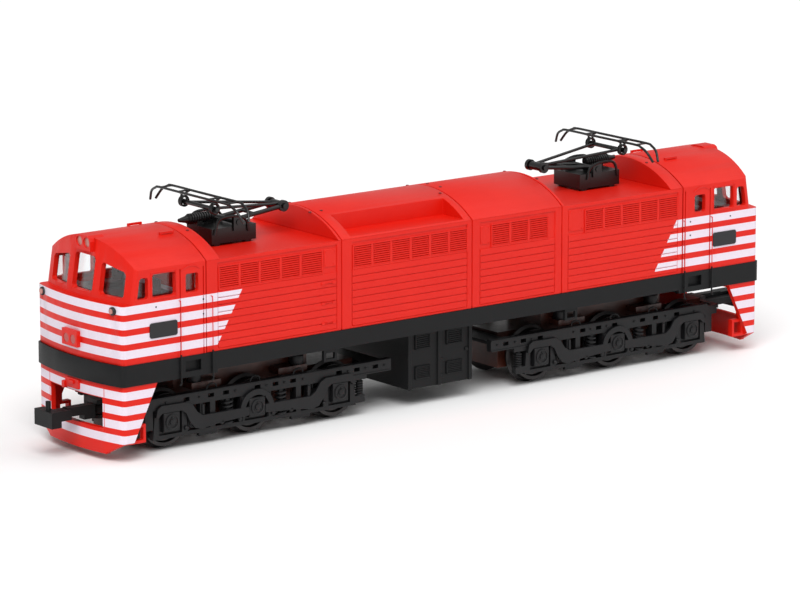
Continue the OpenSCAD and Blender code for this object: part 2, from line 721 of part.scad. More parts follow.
// thick bar from the centre axle box outwards, rising in a swan neck over the outer box
module swan_bar() {
  g = axle_gap;
  b = bar_top;
  polygon([[0, b - 1.8], [g - 12.4, b - 2.5], [g - 8, b - 3.1], [g - 6.2, b - 2.6], [g - 4.8, b - 0.9],
           [g - 3.8, b + 1.1], [g - 2.6, axle_z + abox], [g + 2.6, axle_z + abox], [g + 3.7, b + 0.8],
           [g + 4.3, b + 1.1], [g + 3.9, b + 2.9], [g + 2.7, b + 3.7], [g - 4.2, b + 3.6], [g - 5.6, b + 2.9],
           [g - 7, b + 0.9], [g - 8.4, b], [0, b]]);
}

// coil springs that stand on the bottom rail under the top rail
module bogie_springs() {
  for (m = [0, 1], u = [-spring_u, spring_u]) mirror([0, m, 0])
    translate([bogie_x + u, frame_y + 0.35, 3.1])
      cylinder(d = spring_d, h = spring_top - 3.1);
  for (m = [0, 1]) mirror([0, m, 0])
    translate([bogie_x - axle_gap - 6.2, frame_y + frame_t / 2, 4.2])
      cylinder(r = 0.9, h = spring_top - 5.2);
}

// brake cylinders and sand boxes
module bogie_fittings() {
  for (m = [0, 1]) mirror([0, m, 0]) translate([bogie_x, 0, 0]) {
    block([axle_gap + 4.7, frame_y + 0.2, 4.6],
          [frame_out + 0.6, frame_y + frame_t, frame_top - rail_h]);
    for (u = [-14.2, 14.2]) translate([u, frame_y - 2.4, frame_top + wing]) cylinder(r = 1.6, h = 2);
    for (u = [-12.8, 12.8]) block([u - 2.6, frame_y + 0.2, 1.4], [u + 2.6, frame_y + 1.1, 2.2]);
  }
}

module bogie_a_frame() { color([0.2, 0.2, 0.21]) up() end(-1) bogie_frame(); }
module bogie_b_frame() { color([0.2, 0.2, 0.21]) up() end(1) bogie_frame(); }
module bogie_a_gearbox() { color([0.5, 0.3, 0.2]) up() end(-1) bogie_gearbox(); }
module bogie_b_gearbox() { color([0.5, 0.3, 0.2]) up() end(1) bogie_gearbox(); }
module bogie_a_equalizers() { color([0.22, 0.22, 0.23]) up() end(-1) bogie_equalizers(); }
module bogie_b_equalizers() { color([0.22, 0.22, 0.23]) up() end(1) bogie_equalizers(); }
module bogie_a_springs() { color([0.22, 0.22, 0.23]) up() end(-1) bogie_springs(); }
module bogie_b_springs() { color([0.22, 0.22, 0.23]) up() end(1) bogie_springs(); }
module bogie_a_fittings() { color([0.2, 0.2, 0.21]) up() end(-1) bogie_fittings(); }
module bogie_b_fittings() { color([0.2, 0.2, 0.21]) up() end(1) bogie_fittings(); }

// one axle with its two flanged wheels, centred on the origin
module wheelset() {
  rotate([90, 0, 0]) translate([0, 0, -frame_y - 0.9]) cylinder(r = axle_r, h = 2 * frame_y + 1.8);
  for (s = [-1, 1]) mirror([0, s < 0 ? 1 : 0, 0]) translate([0, back_gap / 2, 0]) rotate([-90, 0, 0])
    rotate_extrude($fn = 72) polygon([[0, 0], [wheel_r + flange_h - 0.15, 0], [wheel_r + flange_h, 0.2],
      [wheel_r + flange_h, 0.5], [wheel_r + 0.1, 0.85], [wheel_r, 1.1], [wheel_r, wheel_w],
      [wheel_r - 0.8, wheel_w], [wheel_r - 1.1, wheel_w - 0.7], [2.2, wheel_w - 0.7], [1.9, wheel_w],
      [0, wheel_w]]);
}
module wheel_at(s, i) {
  color([0.45, 0.45, 0.46]) up() end(s) translate([bogie_x + i * axle_gap, 0, axle_z]) wheelset();
}
module wheelset_a1() { wheel_at(-1, 1); }
module wheelset_a2() { wheel_at(-1, 0); }
module wheelset_a3() { wheel_at(-1, -1); }
module wheelset_b1() { wheel_at(1, 1); }
module wheelset_b2() { wheel_at(1, 0); }
module wheelset_b3() { wheel_at(1, -1); }

/* ---- couplers ---- */
// swinging arm: broad head, a thick horn along one side with a lug behind, and an upright pin
module coupler() {
  x0 = bogie_x + coupler_pivot;
  x1 = coupler_x;
  z = coupler_z;
  difference() {
    union() {
      translate([x0, 0, z - 0.8]) cylinder(r = 2.2, h = 1.6);
      block([x0, -1.3, z - 0.8], [x1 - 2.5, 1.3, z + 0.8]);
      block([x1 - 2.6, -2.4, z - 2], [x1, 4.5, z + 1.6]);
      block([x1 - 5.3, 1.2, z - 0.6], [x1 - 2.5, 4.5, z + 1.6]);
      block([x1 - 12.3, 1.2, z - 0.2], [x1 - 5, 3.3, z + 1.8]);
      block([x1 - 12.3, 1.2, z - 1.4], [x1 - 9.4, 3.3, z]);
      translate([x1 - 1.3, 1.2, z + 1.5]) cylinder(r = 0.6, h = 2.1);
    }
    translate([x0, 0, 0]) cylinder(r = pin_r + play, h = 30);
  }
}
module coupler_a() { color([0.08, 0.08, 0.08]) up() rotate([0, 0, 180]) coupler(); }
module coupler_b() { color([0.08, 0.08, 0.08]) up() end(1) coupler(); }

/* ---- pantographs, drawn at the +X end ---- */
module tube(a, b, d) {
  v = b - a;
  translate(a) rotate([0, acos(v[2] / norm(v)), atan2(v[1], v[0])]) cylinder(d = d, h = norm(v), $fn = 16);
}

module panto_base() {
  difference() {
    union() {
      block([47.4, -4.8, deck_z + 0.5], [59.6, 4.8, deck_z + 4]);
      for (x = [49.2, 57.8], y = [-3.6, 3.6]) translate([x, y, deck_z]) cylinder(r = 1.1, h = 0.8);
      for (y = [-5.2, 4.4])
        block([panto_root - 1.3, y, deck_z + 3], [panto_root + 1.3, y + 0.8, panto_z + 1.2]);
      translate([54.6, 2, panto_z + 0.6]) rotate([0, 90, 0]) cylinder(r = 1, h = 7);
      for (x = [55, 58]) block([x, 0.9, deck_z + 3.8], [x + 1.4, 3.1, panto_z]);
      translate([61.5, 2, panto_z + 0.6]) rotate([0, 90, 0]) cylinder(r1 = 0.9, r2 = 0.4, h = 2.3);
    }
    translate([panto_root, -10, panto_z]) rotate([-90, 0, 0]) cylinder(r = 0.6 + play, h = 20, $fn = 32);
  }
}

module lower_arm() {
  tie_x = 46;
  tie_z = panto_z + (panto_root - tie_x) * knee_rise / (panto_root - knee_x);
  difference() {
    union() {
      translate([panto_root, -5.4, panto_z]) rotate([-90, 0, 0]) cylinder(r = 0.6, h = 10.8, $fn = 32);
      for (y = [-2.5, 2.5]) {
        tube([panto_root, y, panto_z], [knee_x + 0.9, y, knee_z - 0.1], tube_d);
        translate([knee_x, y - 0.45, knee_z]) rotate([-90, 0, 0]) cylinder(r = lug, h = 0.9, $fn = 32);
      }
      tube([tie_x, -2.5, tie_z], [tie_x, 2.5, tie_z], 0.7);
    }
    translate([knee_x, -10, knee_z]) rotate([-90, 0, 0]) cylinder(r = 0.6 + play, h = 20, $fn = 32);
  }
}

module upper_arm() {
  translate([knee_x, -3.4, knee_z]) rotate([-90, 0, 0]) cylinder(r = 0.6, h = 6.8, $fn = 32);
  translate([knee_x, -1.7, knee_z]) rotate([-90, 0, 0]) cylinder(r = 1, h = 3.4, $fn = 32);
  for (s = [-1, 1]) tube([knee_x, s * 1.2, knee_z + 0.3], [head_x, s * 4.8, head_z], 0.7);
  translate([head_x, -7, head_z]) rotate([-90, 0, 0]) cylinder(r = 0.5, h = 14, $fn = 32);
}

module panto_head() {
  bz = head_z + 2.4;
  difference() {
    union() {
      for (i = [-1, 1]) translate([head_x + i * bar_gap / 2, 0, bz]) {
        translate([0, -bar_y, 0]) rotate([-90, 0, 0]) cylinder(d = 0.7, h = 2 * bar_y, $fn = 16);
        for (s = [-1, 1]) mirror([0, s < 0 ? 1 : 0, 0]) {
          tube([0, bar_y - 0.5, 0.02], [0, bar_y + 2.2, -0.6], 0.66);
          tube([0, bar_y + 1.9, -0.5], [0, horn_y - 0.9, -2.2], 0.6);
          tube([0, horn_y - 1.1, -1.9], [0, horn_y, -3.7], 0.54);
        }
      }
      for (y = [-6.3, 5.5]) {
        block([head_x - bar_gap / 2 - 0.2, y, bz - 0.3], [head_x + bar_gap / 2 + 0.2, y + 0.8, bz + 0.2]);
        block([head_x - 0.9, y, head_z - 1], [head_x + 0.9, y + 0.8, bz]);
        translate([head_x, y, head_z]) rotate([-90, 0, 0]) cylinder(r = 1.3, h = 0.8, $fn = 32);
      }
    }
    translate([head_x, -10, head_z]) rotate([-90, 0, 0]) cylinder(r = 0.5 + play, h = 20, $fn = 32);
  }
}

module panto_a_base() { color([0.08, 0.08, 0.09]) up() end(-1) panto_base(); }
module panto_b_base() { color([0.08, 0.08, 0.09]) up() end(1) panto_base(); }
module panto_a_lower_arm() { color([0.08, 0.08, 0.09]) up() end(-1) lower_arm(); }
module panto_b_lower_arm() { color([0.08, 0.08, 0.09]) up() end(1) lower_arm(); }
module panto_a_upper_arm() { color([0.08, 0.08, 0.09]) up() end(-1) upper_arm(); }
module panto_b_upper_arm() { color([0.08, 0.08, 0.09]) up() end(1) upper_arm(); }
module panto_a_head() { color([0.3, 0.3, 0.3]) up() end(-1) panto_head(); }
module panto_b_head() { color([0.3, 0.3, 0.3]) up() end(1) panto_head(); }

hood_shell();
hood_roof();
deck_ribs();
cab_a_shell();
cab_b_shell();
cab_a_glass();
cab_b_glass();
cab_a_interior();
cab_b_interior();
headlights();
headlight_lenses();
nose_lamps();
nose_lamp_lenses();
marker_lamps();
number_plates();
roof_fittings();
underframe();
ballast_block();
equipment_box();
pilot_a();
pilot_b();
footsteps();
handrails();
side_ladders();
king_pins();
panto_a_base();
panto_a_lower_arm();
panto_a_upper_arm();
panto_a_head();
panto_b_base();
panto_b_lower_arm();
panto_b_upper_arm();
panto_b_head();
bogie_a_frame();
bogie_a_gearbox();
bogie_a_equalizers();
bogie_a_springs();
bogie_a_fittings();
bogie_b_frame();
bogie_b_gearbox();
bogie_b_equalizers();
bogie_b_springs();
bogie_b_fittings();
wheelset_a1();
wheelset_a2();
wheelset_a3();
wheelset_b1();
wheelset_b2();
wheelset_b3();
coupler_a();
coupler_b();
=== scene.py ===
"""Looks of a scale-model electric locomotive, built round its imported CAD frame.

Lengths in the classes are millimetres above the rail head, in the frame of the CAD part.
A piece is made from surfaces worked out with numpy and is placed in metres at the very end.
"""

import logging
import math
from collections.abc import Iterable, Sequence
from dataclasses import dataclass
from enum import Enum

import bpy
import numpy as np
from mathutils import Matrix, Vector


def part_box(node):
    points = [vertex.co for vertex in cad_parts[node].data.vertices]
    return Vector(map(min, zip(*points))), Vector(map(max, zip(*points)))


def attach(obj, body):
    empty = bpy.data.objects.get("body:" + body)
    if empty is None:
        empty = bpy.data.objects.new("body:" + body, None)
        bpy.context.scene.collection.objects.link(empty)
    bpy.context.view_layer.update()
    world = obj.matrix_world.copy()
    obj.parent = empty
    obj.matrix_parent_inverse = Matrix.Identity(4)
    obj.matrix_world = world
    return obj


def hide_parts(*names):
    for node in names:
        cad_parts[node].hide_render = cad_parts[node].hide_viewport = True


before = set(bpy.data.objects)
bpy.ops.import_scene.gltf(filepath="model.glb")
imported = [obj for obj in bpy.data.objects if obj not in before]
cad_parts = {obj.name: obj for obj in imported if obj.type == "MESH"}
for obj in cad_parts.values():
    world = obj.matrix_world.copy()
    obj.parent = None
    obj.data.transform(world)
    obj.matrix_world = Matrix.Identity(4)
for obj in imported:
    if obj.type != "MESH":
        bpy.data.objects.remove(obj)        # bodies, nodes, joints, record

LOG = logging.getLogger("locomotive")
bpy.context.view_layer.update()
MM = 0.001              # a millimetre in metres
TINY = 1e-9             # keeps a division from meeting zero
POINTED = 1e-3          # smallest radius of a turned piece
COIL_STEPS = 14         # points on one turn of a spring
MOST_BEVEL = 0.45       # most of a block's thickness that one bevel may take
ACROSS = (0, 1, 0)      # the direction from side to side

Array = np.ndarray
Number = float | int
Rgb = tuple[int, int, int]
Span = tuple[float, float]
Row = tuple[float, ...]
Profile = tuple[Span, ...]
Line = tuple[tuple[float, float, float], ...]


# ---------------------------------------------------------------- shapes


class Axis(Enum):
    """The direction a flat outline is drawn out along, then the two it is drawn in."""

    X = (0, 1, 2)
    Y = (1, 0, 2)
    Z = (2, 0, 1)

    def place(self, outline: Array, at: Array | Number) -> Array:
        """Puts a flat outline into space.

        Args:
            outline: points (n, 2) in the two cross directions.
            at: the place along the axis, one number or one for each point.

        Returns:
            The points (n, 3).
        """
        along, a, b = self.value
        out = np.empty((len(outline), 3))
        out[:, along] = at
        out[:, a] = outline[:, 0]
        out[:, b] = outline[:, 1]
        return out


@dataclass
class Part:
    """Points and faces of one surface, in millimetres."""

    points: Array
    faces: list[Array]

    def moved(self, x: Number = 0, y: Number = 0, z: Number = 0) -> "Part":
        """The same surface, shifted."""
        return Part(self.points + np.array([x, y, z], float), self.faces)

    def mirrored(self, axis: int) -> "Part":
        """The surface seen in a mirror across a coordinate's zero plane, faces kept outwards.

        Args:
            axis: the coordinate that changes sign.

        Returns:
            The mirror image.
        """
        sign = np.ones(3)
        sign[axis] = -1
        return Part(self.points * sign, [f[:, ::-1] for f in self.faces])

    def turned(self, axis: int, degrees: float) -> "Part":
        """The surface turned about a coordinate axis, by the rule of the right hand.

        Args:
            axis: the coordinate whose axis it turns about.
            degrees: the angle.

        Returns:
            The turned surface.
        """
        a, b = [(1, 2), (2, 0), (0, 1)][axis]
        c, s = math.cos(math.radians(degrees)), math.sin(math.radians(degrees))
        out = self.points.copy()
        out[:, a] = c * self.points[:, a] - s * self.points[:, b]
        out[:, b] = s * self.points[:, a] + c * self.points[:, b]
        return Part(out, self.faces)

    def outward(self) -> "Part":
        """Turns the faces outwards: the enclosed volume has to be positive.

        The volume is the sum of the triple products of the corners of every fan triangle.

        Returns:
            This surface, or the same one with its faces turned round.
        """
        volume = 0.0
        for f in self.faces:
            p = self.points[f]
            for i in range(1, f.shape[1] - 1):
                volume += float(np.einsum("ij,ij->", p[:, 0], np.cross(p[:, i], p[:, i + 1])))
        return self if volume >= 0 else Part(self.points, [f[:, ::-1] for f in self.faces])


def skin(rings: Array, loop: bool = False) -> Part:
    """Joins a stack of rings: point j of ring i meets point j of ring i + 1.

    Args:
        rings: points (rings, points of a ring, 3).
        loop: whether the last ring joins the first; otherwise both ends are filled.

    Returns:
        The closed surface, facing outwards.
    """
    k, n, _ = rings.shape
    ids = np.arange(k * n).reshape(k, n)
    a = ids if loop else ids[:-1]
    b = np.roll(ids, -1, 0) if loop else ids[1:]
    faces = [np.stack([a, np.roll(a, -1, 1), np.roll(b, -1, 1), b], -1).reshape(-1, 4)]
    if not loop:
        faces += [ids[:1, ::-1], ids[-1:]]
    return Part(rings.reshape(-1, 3), faces).outward()


def inset(outline: Array, distance: float) -> Array:
    """Moves each side of an outline inwards.

    A corner moves by distance * (n1 + n2) / (1 + n1 . n2), with n1 and n2 the normals of its sides.

    Args:
        outline: points (n, 2) in either sense.
        distance: how far each side moves.

    Returns:
        The smaller outline.
    """
    edge, after = np.roll(outline, -1, 0) - outline, np.roll(outline, -1, 0)
    area = float(np.sum(outline[:, 0] * after[:, 1] - after[:, 0] * outline[:, 1]))
    out = np.stack([edge[:, 1], -edge[:, 0]], 1) * (1 if area > 0 else -1)
    out /= np.maximum(np.linalg.norm(out, axis=1, keepdims=True), TINY)
    before = np.roll(out, 1, 0)
    return outline - distance * (out + before) / (1 + np.sum(out * before, 1, keepdims=True))


def extrude(outline: Array | Sequence, axis: Axis, lo: float, hi: float,
            bevel: float = 0.0) -> Part:
    """Draws a flat outline out along an axis.

    Args:
        outline: points (n, 2).
        axis: the direction it is drawn out along.
        lo: one end.
        hi: the other end.
        bevel: how far the edges of both ends are cut back at 45 degrees.

    Returns:
        The closed surface.
    """
    flat = np.asarray(outline, float)
    lo, hi = min(lo, hi), max(lo, hi)
    steps = [(lo, 0.0), (hi, 0.0)]
    if bevel:
        steps = [(lo, bevel), (lo + bevel, 0.0), (hi - bevel, 0.0), (hi, bevel)]
    return skin(np.stack([axis.place(inset(flat, d) if d else flat, at) for at, d in steps]))


def box(lo: Sequence[float], hi: Sequence[float], bevel: float = 0.0) -> Part:
    """A block, with the long edges of its thinnest direction cut back.

    Args:
        lo: one corner.
        hi: the opposite corner.
        bevel: how far the edges are cut back.

    Returns:
        The block.
    """
    lo, hi = np.minimum(lo, hi).astype(float), np.maximum(lo, hi).astype(float)
    thin = int(np.argmin(hi - lo))
    axis = list(Axis)[thin]
    _, a, b = axis.value
    flat = [(lo[a], lo[b]), (hi[a], lo[b]), (hi[a], hi[b]), (lo[a], hi[b])]
    return extrude(flat, axis, lo[thin], hi[thin], min(bevel, (hi[thin] - lo[thin]) * MOST_BEVEL))


def strips(x0: float, x1: float, z0: float, z1: float, width: float) -> list[Row]:
    """The four strips of a rectangular frame, each as (x0, x1, z0, z1).

    Args:
        x0: left side of the outer rectangle.
        x1: its right side.
        z0: its foot.
        z1: its top.
        width: the width of a strip.

    Returns:
        Top, foot, and the two sides between them.
    """
    z = (z0 + width, z1 - width)
    return [(x0, x1, z[1], z1), (x0, x1, z0, z[0]), (x0, x0 + width, *z), (x1 - width, x1, *z)]


def circle(x: float, y: float, r: float, n: int = 16) -> Array:
    """A round outline: x + r cos t, y + r sin t."""
    t = np.arange(n) / n * 2 * np.pi
    return np.stack([x + r * np.cos(t), y + r * np.sin(t)], 1)


def soft_rect(x0: float, x1: float, y0: float, y1: float, r: float, n: int = 4) -> Array:
    """A rectangle outline whose corners are quarter circles.

    Args:
        x0: the left side.
        x1: the right side.
        y0: the foot.
        y1: the top.
        r: radius of the corners.
        n: points on a corner.

    Returns:
        The outline.
    """
    t = np.linspace(0, np.pi / 2, n)
    arcs = [(x1 - r, y0 + r, -np.pi / 2), (x1 - r, y1 - r, 0),
            (x0 + r, y1 - r, np.pi / 2), (x0 + r, y0 + r, np.pi)]
    return np.concatenate([np.stack([cx + r * np.cos(t + s), cy + r * np.sin(t + s)], 1)
                           for cx, cy, s in arcs])


def lathe(profile: Sequence[Span], axis: Axis, centre: Sequence[float], n: int = 24) -> Part:
    """Turns a profile about an axis, ends capped.

    Args:
        profile: pairs of radius and place along the axis.
        axis: the axis it turns about.
        centre: the point that the axis runs through and the places count from.
        n: points round.

    Returns:
        The turned piece.
    """
    along, a, b = axis.value
    c = np.asarray(centre, float)
    return skin(np.stack([axis.place(circle(c[a], c[b], max(r, POINTED), n), c[along] + h)
                          for r, h in profile]))


def tube(path: Array | Sequence, radius: float, sides: int = 8,
         up: Sequence[float] = (0, 0, 1), loop: bool = False) -> Part:
    """Carries a circle along a line in space.

    Each ring lies square to the line. Its first spoke is the part of the up direction that is
    square to the line.

    Args:
        path: points (n, 3).
        radius: radius of the tube.
        sides: points of a ring.
        up: the up direction.
        loop: whether the line closes.

    Returns:
        The tube, ends filled unless it closes.
    """
    p, up = np.asarray(path, float), np.asarray(up, float)
    t = np.roll(p, -1, 0) - np.roll(p, 1, 0) if loop else np.gradient(p, axis=0)
    t /= np.maximum(np.linalg.norm(t, axis=1, keepdims=True), TINY)
    u = up - np.sum(t * up, 1, keepdims=True) * t
    u /= np.maximum(np.linalg.norm(u, axis=1, keepdims=True), TINY)
    v = np.cross(t, u)
    turn = (np.arange(sides) / sides * 2 * np.pi)[None, :, None]
    return skin(p[:, None] + radius * (np.cos(turn) * u[:, None] + np.sin(turn) * v[:, None]),
                loop)


def smooth_path(points: Sequence, steps: int = 8) -> Array:
    """A Catmull-Rom line: each stretch is the usual cubic of its four neighbours.

    Args:
        points: the points it runs through.
        steps: points on a stretch.

    Returns:
        The line (n, 3).
    """
    p = np.asarray(points, float)
    p = np.concatenate([2 * p[:1] - p[1:2], p, 2 * p[-1:] - p[-2:-1]])
    t = np.linspace(0, 1, steps, endpoint=False)[:, None]
    a, b, c, d = (p[i:len(p) - 3 + i, None] for i in range(4))
    square, cube = 2 * a - 5 * b + 4 * c - d, 3 * b - a - 3 * c + d
    mid = 0.5 * (2 * b + (c - a) * t + square * t**2 + cube * t**3)
    return np.concatenate([mid.reshape(-1, p.shape[1]), p[-2:-1]])


def coil(centre: Sequence[float], radius: float, wire: float, height: float, turns: int) -> Part:
    """An upright coil spring: a tube round the line radius cos t, radius sin t, height t / turns.

    Args:
        centre: the middle of its foot.
        radius: radius of the coil.
        wire: radius of the wire.
        height: its height.
        turns: how many turns.

    Returns:
        The spring.
    """
    t = np.linspace(0, turns * 2 * np.pi, turns * COIL_STEPS + 1)
    line = np.stack([radius * np.cos(t), radius * np.sin(t), height * t / t[-1]], 1)
    return tube(line + np.asarray(centre, float), wire, sides=6)


def rod(radius: float, height: float, foot: Sequence[float], n: int) -> Part:
    """An upright rod on its foot."""
    return lathe([(radius, 0), (radius, height)], Axis.Z, foot, n)


def both_sides(parts: Iterable[Part]) -> list[Part]:
    """The parts and their mirror images across the centre plane."""
    found = list(parts)
    return found + [p.mirrored(1) for p in found]


def both_ends(parts: Iterable[Part]) -> list[Part]:
    """The parts and their mirror images at the other end."""
    found = list(parts)
    return found + [p.mirrored(0) for p in found]


@dataclass(frozen=True)
class Block:
    """A small block that is repeated along a side: half its length, depths, heights and bevel."""

    half: float
    depth: Span
    height: Span
    bevel: float = 0.0

    def at(self, u: float, face: float) -> Part:
        """The block in the middle of a place along the side, its depths counted from a face."""
        (y0, y1), (z0, z1) = self.depth, self.height
        return box((u - self.half, face + y0, z0), (u + self.half, face + y1, z1), self.bevel)


# ---------------------------------------------------------------- shader maths


class Value:
    """A number on a node socket. Arithmetic on it adds Math nodes to its graph."""

    def __init__(self, graph: "Graph", socket: bpy.types.NodeSocket) -> None:
        """Keeps the graph and the socket."""
        self.graph = graph
        self.socket = socket

    def math(self, operation: str, *terms: "Value | Number", clamp: bool = False) -> "Value":
        """One Math node.

        Args:
            operation: the node's operation.
            terms: its inputs in order, values or numbers.
            clamp: whether the result is held between 0 and 1.

        Returns:
            The node's result.
        """
        settings = {"operation": operation, "use_clamp": clamp}
        return self.graph.value("ShaderNodeMath", settings, dict(enumerate(terms)))

    def __add__(self, other: "Value | Number") -> "Value":
        """Sum."""
        return self.math("ADD", self, other)

    def __sub__(self, other: "Value | Number") -> "Value":
        """Difference."""
        return self.math("SUBTRACT", self, other)

    def __rsub__(self, other: "Value | Number") -> "Value":
        """Difference from a number."""
        return self.math("SUBTRACT", other, self)

    def __mul__(self, other: "Value | Number") -> "Value":
        """Product."""
        return self.math("MULTIPLY", self, other)

    def __neg__(self) -> "Value":
        """The opposite number."""
        return self.math("MULTIPLY", self, -1.0)

    __radd__ = __add__
    __rmul__ = __mul__

    def sign(self) -> "Value":
        """1 above 0, -1 below."""
        return self.math("SIGN", self)

    def least(self, other: "Value | Number") -> "Value":
        """The smaller of the two."""
        return self.math("MINIMUM", self, other)

    def most(self, other: "Value | Number") -> "Value":
        """The larger of the two."""
        return self.math("MAXIMUM", self, other)

    def above(self, edge: "Value | Number", soft: float = 0.04) -> "Value":
        """1 where this is above the edge and 0 below, over a short ramp."""
        return self.math("ADD", (self - edge) * (1 / soft), 0.5, clamp=True)

    def between(self, low: Number, high: Number, soft: float = 0.04) -> "Value":
        """1 between two edges and 0 outside."""
        return (self - low).least(high - self).above(0, soft)


class Graph:
    """The node graph of one material or world."""

    def __init__(self, owner: bpy.types.Material | bpy.types.World) -> None:
        """Empties the owner's nodes.

        Args:
            owner: the material or world whose nodes these are.
        """
        owner.use_nodes = True
        self.tree = owner.node_tree
        self.tree.nodes.clear()

    def node(self, kind: str, settings: dict | None = None,
             inputs: dict | None = None) -> bpy.types.Node:
        """Adds one node.

        Args:
            kind: the node's type.
            settings: its properties, which are set first.
            inputs: its sockets by name or number, each a Value, a socket, a number or a colour.

        Returns:
            The node.
        """
        made = self.tree.nodes.new(kind)
        for name, setting in (settings or {}).items():
            setattr(made, name, setting)
        for key, source in (inputs or {}).items():
            source = source.socket if isinstance(source, Value) else source
            if isinstance(source, bpy.types.NodeSocket):
                self.tree.links.new(source, made.inputs[key])
            else:
                made.inputs[key].default_value = source
        return made

    def value(self, kind: str, settings: dict | None = None, inputs: dict | None = None) -> Value:
        """Adds one node and wraps its first output."""
        return Value(self, self.node(kind, settings, inputs).outputs[0])

    def split(self, output: str) -> tuple[Value, Value, Value]:
        """The three numbers of a texture coordinate output.

        Args:
            output: the output's name.

        Returns:
            Its x, y and z.
        """
        where = self.node("ShaderNodeTexCoord").outputs[output]
        parts = self.node("ShaderNodeSeparateXYZ", inputs={0: where})
        return tuple(Value(self, parts.outputs[i]) for i in range(3))

    def noise(self, per_mm: float, detail: float) -> Value:
        """Soft noise from 0 to 1.

        Args:
            per_mm: how many blobs there are in a millimetre.
            detail: how many finer layers lie on it.

        Returns:
            The noise.
        """
        where = self.node("ShaderNodeTexCoord").outputs["Object"]
        inputs = {"Vector": where, "Scale": per_mm / MM, "Detail": detail, "Roughness": 0.55}
        return self.value("ShaderNodeTexNoise", inputs=inputs)

    def mix(self, factor: Value | Number, a: object, b: object) -> bpy.types.NodeSocket:
        """The colour a turning to b as the factor goes from 0 to 1."""
        return self.node("ShaderNodeMix", {"data_type": "RGBA"}, {0: factor, 6: a, 7: b}).outputs[2]

    def bump(self, height: Value, depth_mm: float) -> bpy.types.NodeSocket:
        """A normal from a height between 0 and 1 that stands for a depth in millimetres."""
        inputs = {"Strength": 1.0, "Distance": depth_mm * MM, "Height": height}
        return self.node("ShaderNodeBump", inputs=inputs).outputs[0]

    def finish(self, inputs: dict) -> None:
        """Adds the surface shader and the output."""
        shader = self.node("ShaderNodeBsdfPrincipled", inputs=inputs)
        self.node("ShaderNodeOutputMaterial", inputs={"Surface": shader.outputs[0]})


def ink(r: int, g: int, b: int) -> tuple[float, float, float, float]:
    """A colour written in 0 to 255, made linear by the sRGB curve."""
    lin = [c / 255 / 12.92 if c <= 10 else ((c / 255 + 0.055) / 1.055) ** 2.4 for c in (r, g, b)]
    return (*lin, 1.0)


@dataclass(frozen=True)
class Finish:
    """A plain moulded or metal finish: two close colours clouded together, grain, uneven gloss."""

    name: str
    slot: str
    colour: Rgb
    shade: Rgb
    roughness: float = 0.45
    uneven: float = 0.12
    grain: float = 3.0
    grain_depth: float = 0.006
    metallic: float = 0.0
    coat: float = 0.0
    shine: float = 0.5
    coat_roughness: float = 0.2
    grain_detail: float = 3.0
    cloud: float = 0.12
    cloud_detail: float = 3.0
    cloud_edges: tuple[float, float, float] = (0.25, 0.6, 0.5)

    def material(self) -> bpy.types.Material:
        """The finish as a material, made once.

        Returns:
            The material.
        """
        found = bpy.data.materials.get(self.name)
        if found is None:
            found = bpy.data.materials.new(self.name)
            self.dress(Graph(found))
        return found

    def clouded(self, g: Graph) -> bpy.types.NodeSocket:
        """The two colours, clouded together."""
        mask = g.noise(self.cloud, self.cloud_detail).between(*self.cloud_edges)
        return g.mix(mask, ink(*self.colour), ink(*self.shade))

    def dress(self, g: Graph) -> None:
        """Adds the nodes.

        Args:
            g: the material's graph.
        """
        grit = g.noise(self.grain, self.grain_detail)
        g.finish({
            "Base Color": self.clouded(g),
            "Roughness": grit * self.uneven + (self.roughness - self.uneven / 2),
            "Normal": g.bump(grit, self.grain_depth),
            "Metallic": self.metallic,
            "Specular IOR Level": self.shine,
            "Coat Weight": self.coat,
            "Coat Roughness": self.coat_roughness,
        })


@dataclass(frozen=True)
class Livery(Finish):
    """Red body paint with pale stripes round both cabs and the pilots."""

    grain_detail: float = 2.0
    cloud: float = 0.1
    cloud_edges: tuple[float, float, float] = (0.3, 0.6, 0.5)
    stripe: Rgb = (236, 224, 236)
    stripe_shade: Rgb = (226, 214, 226)
    stripe_step: float = 0.9
    stripe_dull: float = 0.08
    stripes: int = 4
    pitch: float = 3.27
    top: float = 34.5
    width: float = 1.85
    low_top: float = 15.45
    low_width: float = 1.9
    left_end: float = -59.8
    right_end: float = 67.7
    slant: float = 0.58
    facing: Span = (0.35, 0.1)
    rail: float = 0.8

    def bands(self, z: Value, top: float, width: float) -> Value:
        """The mask of a stack of level stripes.

        Args:
            z: height above the rail.
            top: upper edge of the highest stripe.
            width: width of a stripe.

        Returns:
            1 on a stripe and 0 between them.
        """
        found = z.between(top - width, top)
        for i in range(1, self.stripes):
            edge = top - i * self.pitch
            found = found.most(z.between(edge - width, edge))
        return found

    def dress(self, g: Graph) -> None:
        """Adds the nodes: a mask of level stripes, with slanted ends, on outward faces only.

        Args:
            g: the material's graph.
        """
        x, y, z = (axis * (1 / MM) for axis in g.split("Object"))
        z = z - self.rail
        nx, ny, _ = g.split("Normal")
        seen = x * (-y).sign()
        lean = (z - self.top) * self.slant
        ends = (lean + self.left_end - seen).above(0).most((seen - lean - self.right_end).above(0))
        out = (nx * x.sign()).most(ny * y.sign()).above(*self.facing)
        upper = self.bands(z, self.top, self.width) * ends
        mask = upper.most(self.bands(z, self.low_top, self.low_width)) * out
        grit = g.noise(self.grain, self.grain_detail)
        pale = g.mix(grit, ink(*self.stripe), ink(*self.stripe_shade))
        dull = grit * self.uneven + mask * self.stripe_dull
        g.finish({
            "Base Color": g.mix(mask, self.clouded(g), pale),
            "Roughness": dull + (self.roughness - self.uneven / 2),
            "Normal": g.bump(grit + mask * self.stripe_step, self.grain_depth),
            "Specular IOR Level": self.shine,
        })


